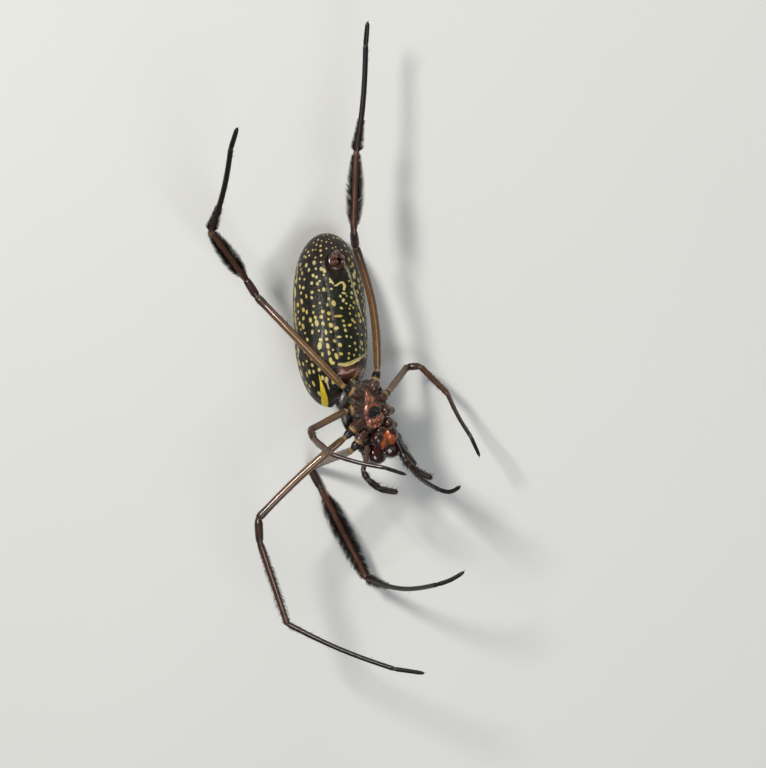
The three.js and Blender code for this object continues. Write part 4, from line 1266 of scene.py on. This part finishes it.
mounds += [blob((x * 0.985, y, z + 0.11), eyes["mound"], 14, 24) for x, y, z in eyePlaces]
makePiece("eyeMounds", [shell(fromFront(points)) for points in mounds], carapaceMaterial)
print("head done")


# Palps: a tube each, like a small leg. Their darkness is that of the base and what the end adds.

palps = {
    "left": {"points": [(-0.75, -4.85, -0.5), (-1.0, -7.0, 0.3), (-1.4, -8.2, 0.6), (-0.6, -9.5, 1.0),
                        (1.0, -10.7, 1.2), (3.4, -11.1, 1.2)],
             # the left palp's base is lighter and pinkish, a painted highlight where light falls on it; the
             # right palp has none
             "dark": (0.66, 0.2), "paintedHighlight": 0.12, "hairs": 240, "hairsFrom": 0.36, "tall": 1.1},
    "right": {"points": [(3.2, -3.95, -2.35), (4.15, -6.1, -2.0), (4.6, -7.2, -1.6), (5.3, -7.8, -0.7),
                         (6.3, -8.5, 0.5), (8.0, -9.2, 1.4)],
              "dark": (0.84, 0.0), "paintedHighlight": 0.0, "hairs": 640, "hairsFrom": 0.12, "tall": 1.3},
}
palpProfile = [
    (0, 0.28), (0.06, 0.33), (0.2, 0.35), (0.36, 0.35), (0.39, 0.32), (0.43, 0.44), (0.5, 0.43),
    (0.53, 0.36), (0.57, 0.45), (0.7, 0.46), (0.73, 0.38), (0.77, 0.44), (0.95, 0.38), (0.985, 0.28),
    (1, 0.08)]


def buildPalp(look):
    line, run = roundedLine(look["points"], 0.08, 0.3)
    share = run / run[-1]
    normal = bendNormal(np.array(look["points"]))
    along, side, up = tubeFrame(line, normal)
    return {
        "line": line, "run": run, "radius": readOff(palpProfile, share), "normal": normal,
        "along": along, "side": side, "up": up,
        "dark": look["dark"][0] + look["dark"][1] * smooth(0.28, 0.4, share),
        "paintedHighlight": look["paintedHighlight"] * smooth(0.36, 0.3, share), "red": 0 * share,
        "pale": 0.7 * bump(share, 0.39, 0.008) + 0.4 * bump(share, 0.53, 0.008)}


for word, look in palps.items():
    palp = buildPalp(look)
    end = palp["run"][-1]
    makePiece(f"palp_{word}_shell", [tubeShell(palp, 20)], legShellMaterial,
              [f"palp_{word}_base", f"palp_{word}_end"])
    run = between(end * look["hairsFrom"], end * 0.98, look["hairs"])
    fine = tubeHair(palp, run, (0.2, 0.4), (0.011, 0.017), (35, 58), (5, 15), look["tall"])
    run = between(end * 0.35, end * 0.97, look["hairs"] // 8)
    spines = tubeHair(palp, run, (0.5, 0.85), (0.020, 0.028), (30, 52), (0, 12), look["tall"])
    makePiece(f"palp_{word}_hair", [fine, spines], blackHair)
print("palps done")


# Spinnerets: short cones of two joints each on a low ring, over a small knob. A cone is its place along
# the body, its thickness and its height.

spinneret = {
    "at": 0.79, "cones": [(-0.5, 0.46, 1.65), (0.5, 0.4, 1.55), (0.05, 0.18, 1.2)],
    "profile": [(0, 0.9), (0.1, 1.05), (0.45, 1), (0.52, 0.84), (0.58, 0.9), (0.85, 0.62), (0.97, 0.35),
                (1, 0.1)],
    "knob": ((0, 1.05, 0.2), (0.42, 0.5, 0.42)), "ring": ((0, 0, 0.12), (1.2, 1.3, 0.3)), "hairs": 130,
}
spinRoot = np.array([0, (spinneret["at"] - 0.5) * abdomen["length"],
                     abdomen["halfHeight"] * float(abdomenWidth(np.array(spinneret["at"])))])


def spinCone(side, along, size, height):
    # a two-jointed cone that leans in and back
    foot = spinRoot + (side * 0.56, along, 0.1)
    top = spinRoot + (side * 0.3, along * 0.6 - 0.15, height)
    line, part = bowedLine(foot, top, (side * 0.1, -0.05, 0), 40)
    return sweep(line, size * readOff(spinneret["profile"], part), (1, 0, 0), 28)


def spinBlob(name, rows, around):
    middle, size = spinneret[name]
    return fromRear(blob(spinRoot + middle, size, rows, around))


cones = [fromRear(spinCone(side, *cone)) for side in (-1, 1) for cone in spinneret["cones"]]
spinMaterial = plainMaterial("spinneret", rgb(0.115, 0.036, 0.022), {
    "cloud": 1600.0, "pit": 5200.0, "depth": 0.6, "shadow": rgb(0.4, 0.35, 0.3),
    "smooth": 0.2, "rough": 0.36, "relief": 0.6}, 0.8)
makePiece("spinneretCones", [shell(points) for points in cones + [
    spinBlob("knob", 24, 24), spinBlob("ring", 30, 40)]], spinMaterial, ["spinnerets"])
makePiece("spinneretHair", [gridHair(
    points, spinneret["hairs"], (0.15, 0.35), (0.008, 0.012), (25, 50), rearTurn @ np.array([0, 0.3, 1]))
    for points in cones], blackHair)
print("spinnerets done")


# Floor, light and camera

studio = {
    "floorHalf": 1.6, "aimHeight": 0.012, "worldColour": rgb(0.86, 0.88, 0.9), "worldStrength": 0.2,
    "lights": {  # where each stands, its size, its power and its colour
        "keyLight": ((-0.22, 0.24, 0.42), 0.09, 2.2, (1.0, 0.97, 0.92)),
        "fillLight": ((0.12, -0.14, 0.42), 0.2, 0.7, (0.93, 0.97, 1.0)),
        "rimLight": ((0.1, 0.5, 0.12), 0.2, 0.4, (1.0, 1.0, 1.0)),
    },
    "cameraAt": (1.351, 3.514, 600.0),  # in the spider's own frame, looking straight down its z
    "frameWidth": 103.51,               # millimetres across the picture at the sternum
    "sensor": 36.0,
}


def floorMaterial():
    material, tree, shader = newMaterial("studio floor", roughness=0.85, specular=0.2)
    cloud = cloudy(tree, 9.0, 3.0).outputs["Fac"]
    tree.links.new(mixed(tree, cloud, rgb(0.66, 0.66, 0.64), rgb(0.70, 0.70, 0.68)),
                   shader.inputs["Base Color"])
    return material


floorMesh = bpy.data.meshes.new("studioFloor")
floorMesh.from_pydata([(x * studio["floorHalf"], y * studio["floorHalf"], 0) for x, y in (
    (-1, -1), (1, -1), (1, 1), (-1, 1))], [], [(0, 1, 2, 3)])
floorMesh.materials.append(floorMaterial())
addObject("studioFloor", floorMesh)

# square lights that look at the model's middle
for name, (at, size, power, colour) in studio["lights"].items():
    light = bpy.data.lights.new(name, "AREA")
    light.size = size
    light.energy = power
    light.color = colour
    lamp = addObject(name, light)
    lamp.location = at
    aimX, aimY, aimZ = (0, 0, studio["aimHeight"]) - np.array(at)
    lamp.rotation_euler = (math.atan2(math.hypot(aimX, aimY), -aimZ), 0, math.atan2(aimY, aimX) - math.pi / 2)

world = bpy.data.worlds.new("studio")
world.use_nodes = True
background = world.node_tree.nodes["Background"]
background.inputs["Color"].default_value = studio["worldColour"]
background.inputs["Strength"].default_value = studio["worldStrength"]
bpy.context.scene.world = world

cameraData = bpy.data.cameras.new("camera")
cameraData.sensor_fit = "HORIZONTAL"
cameraData.sensor_width = studio["sensor"]
cameraData.lens = studio["sensor"] * studio["cameraAt"][2] / studio["frameWidth"]
cameraData.clip_start = 0.01
cameraData.clip_end = 10
camera = addObject("camera", cameraData)
camera.location = toFrame(np.array([studio["cameraAt"]]))[0]
camera.rotation_euler = (math.radians(placing["layTilt"]), 0, 0)
bpy.context.scene.camera = camera
bpy.context.scene.view_settings.view_transform = "Standard"
print("stage ready")
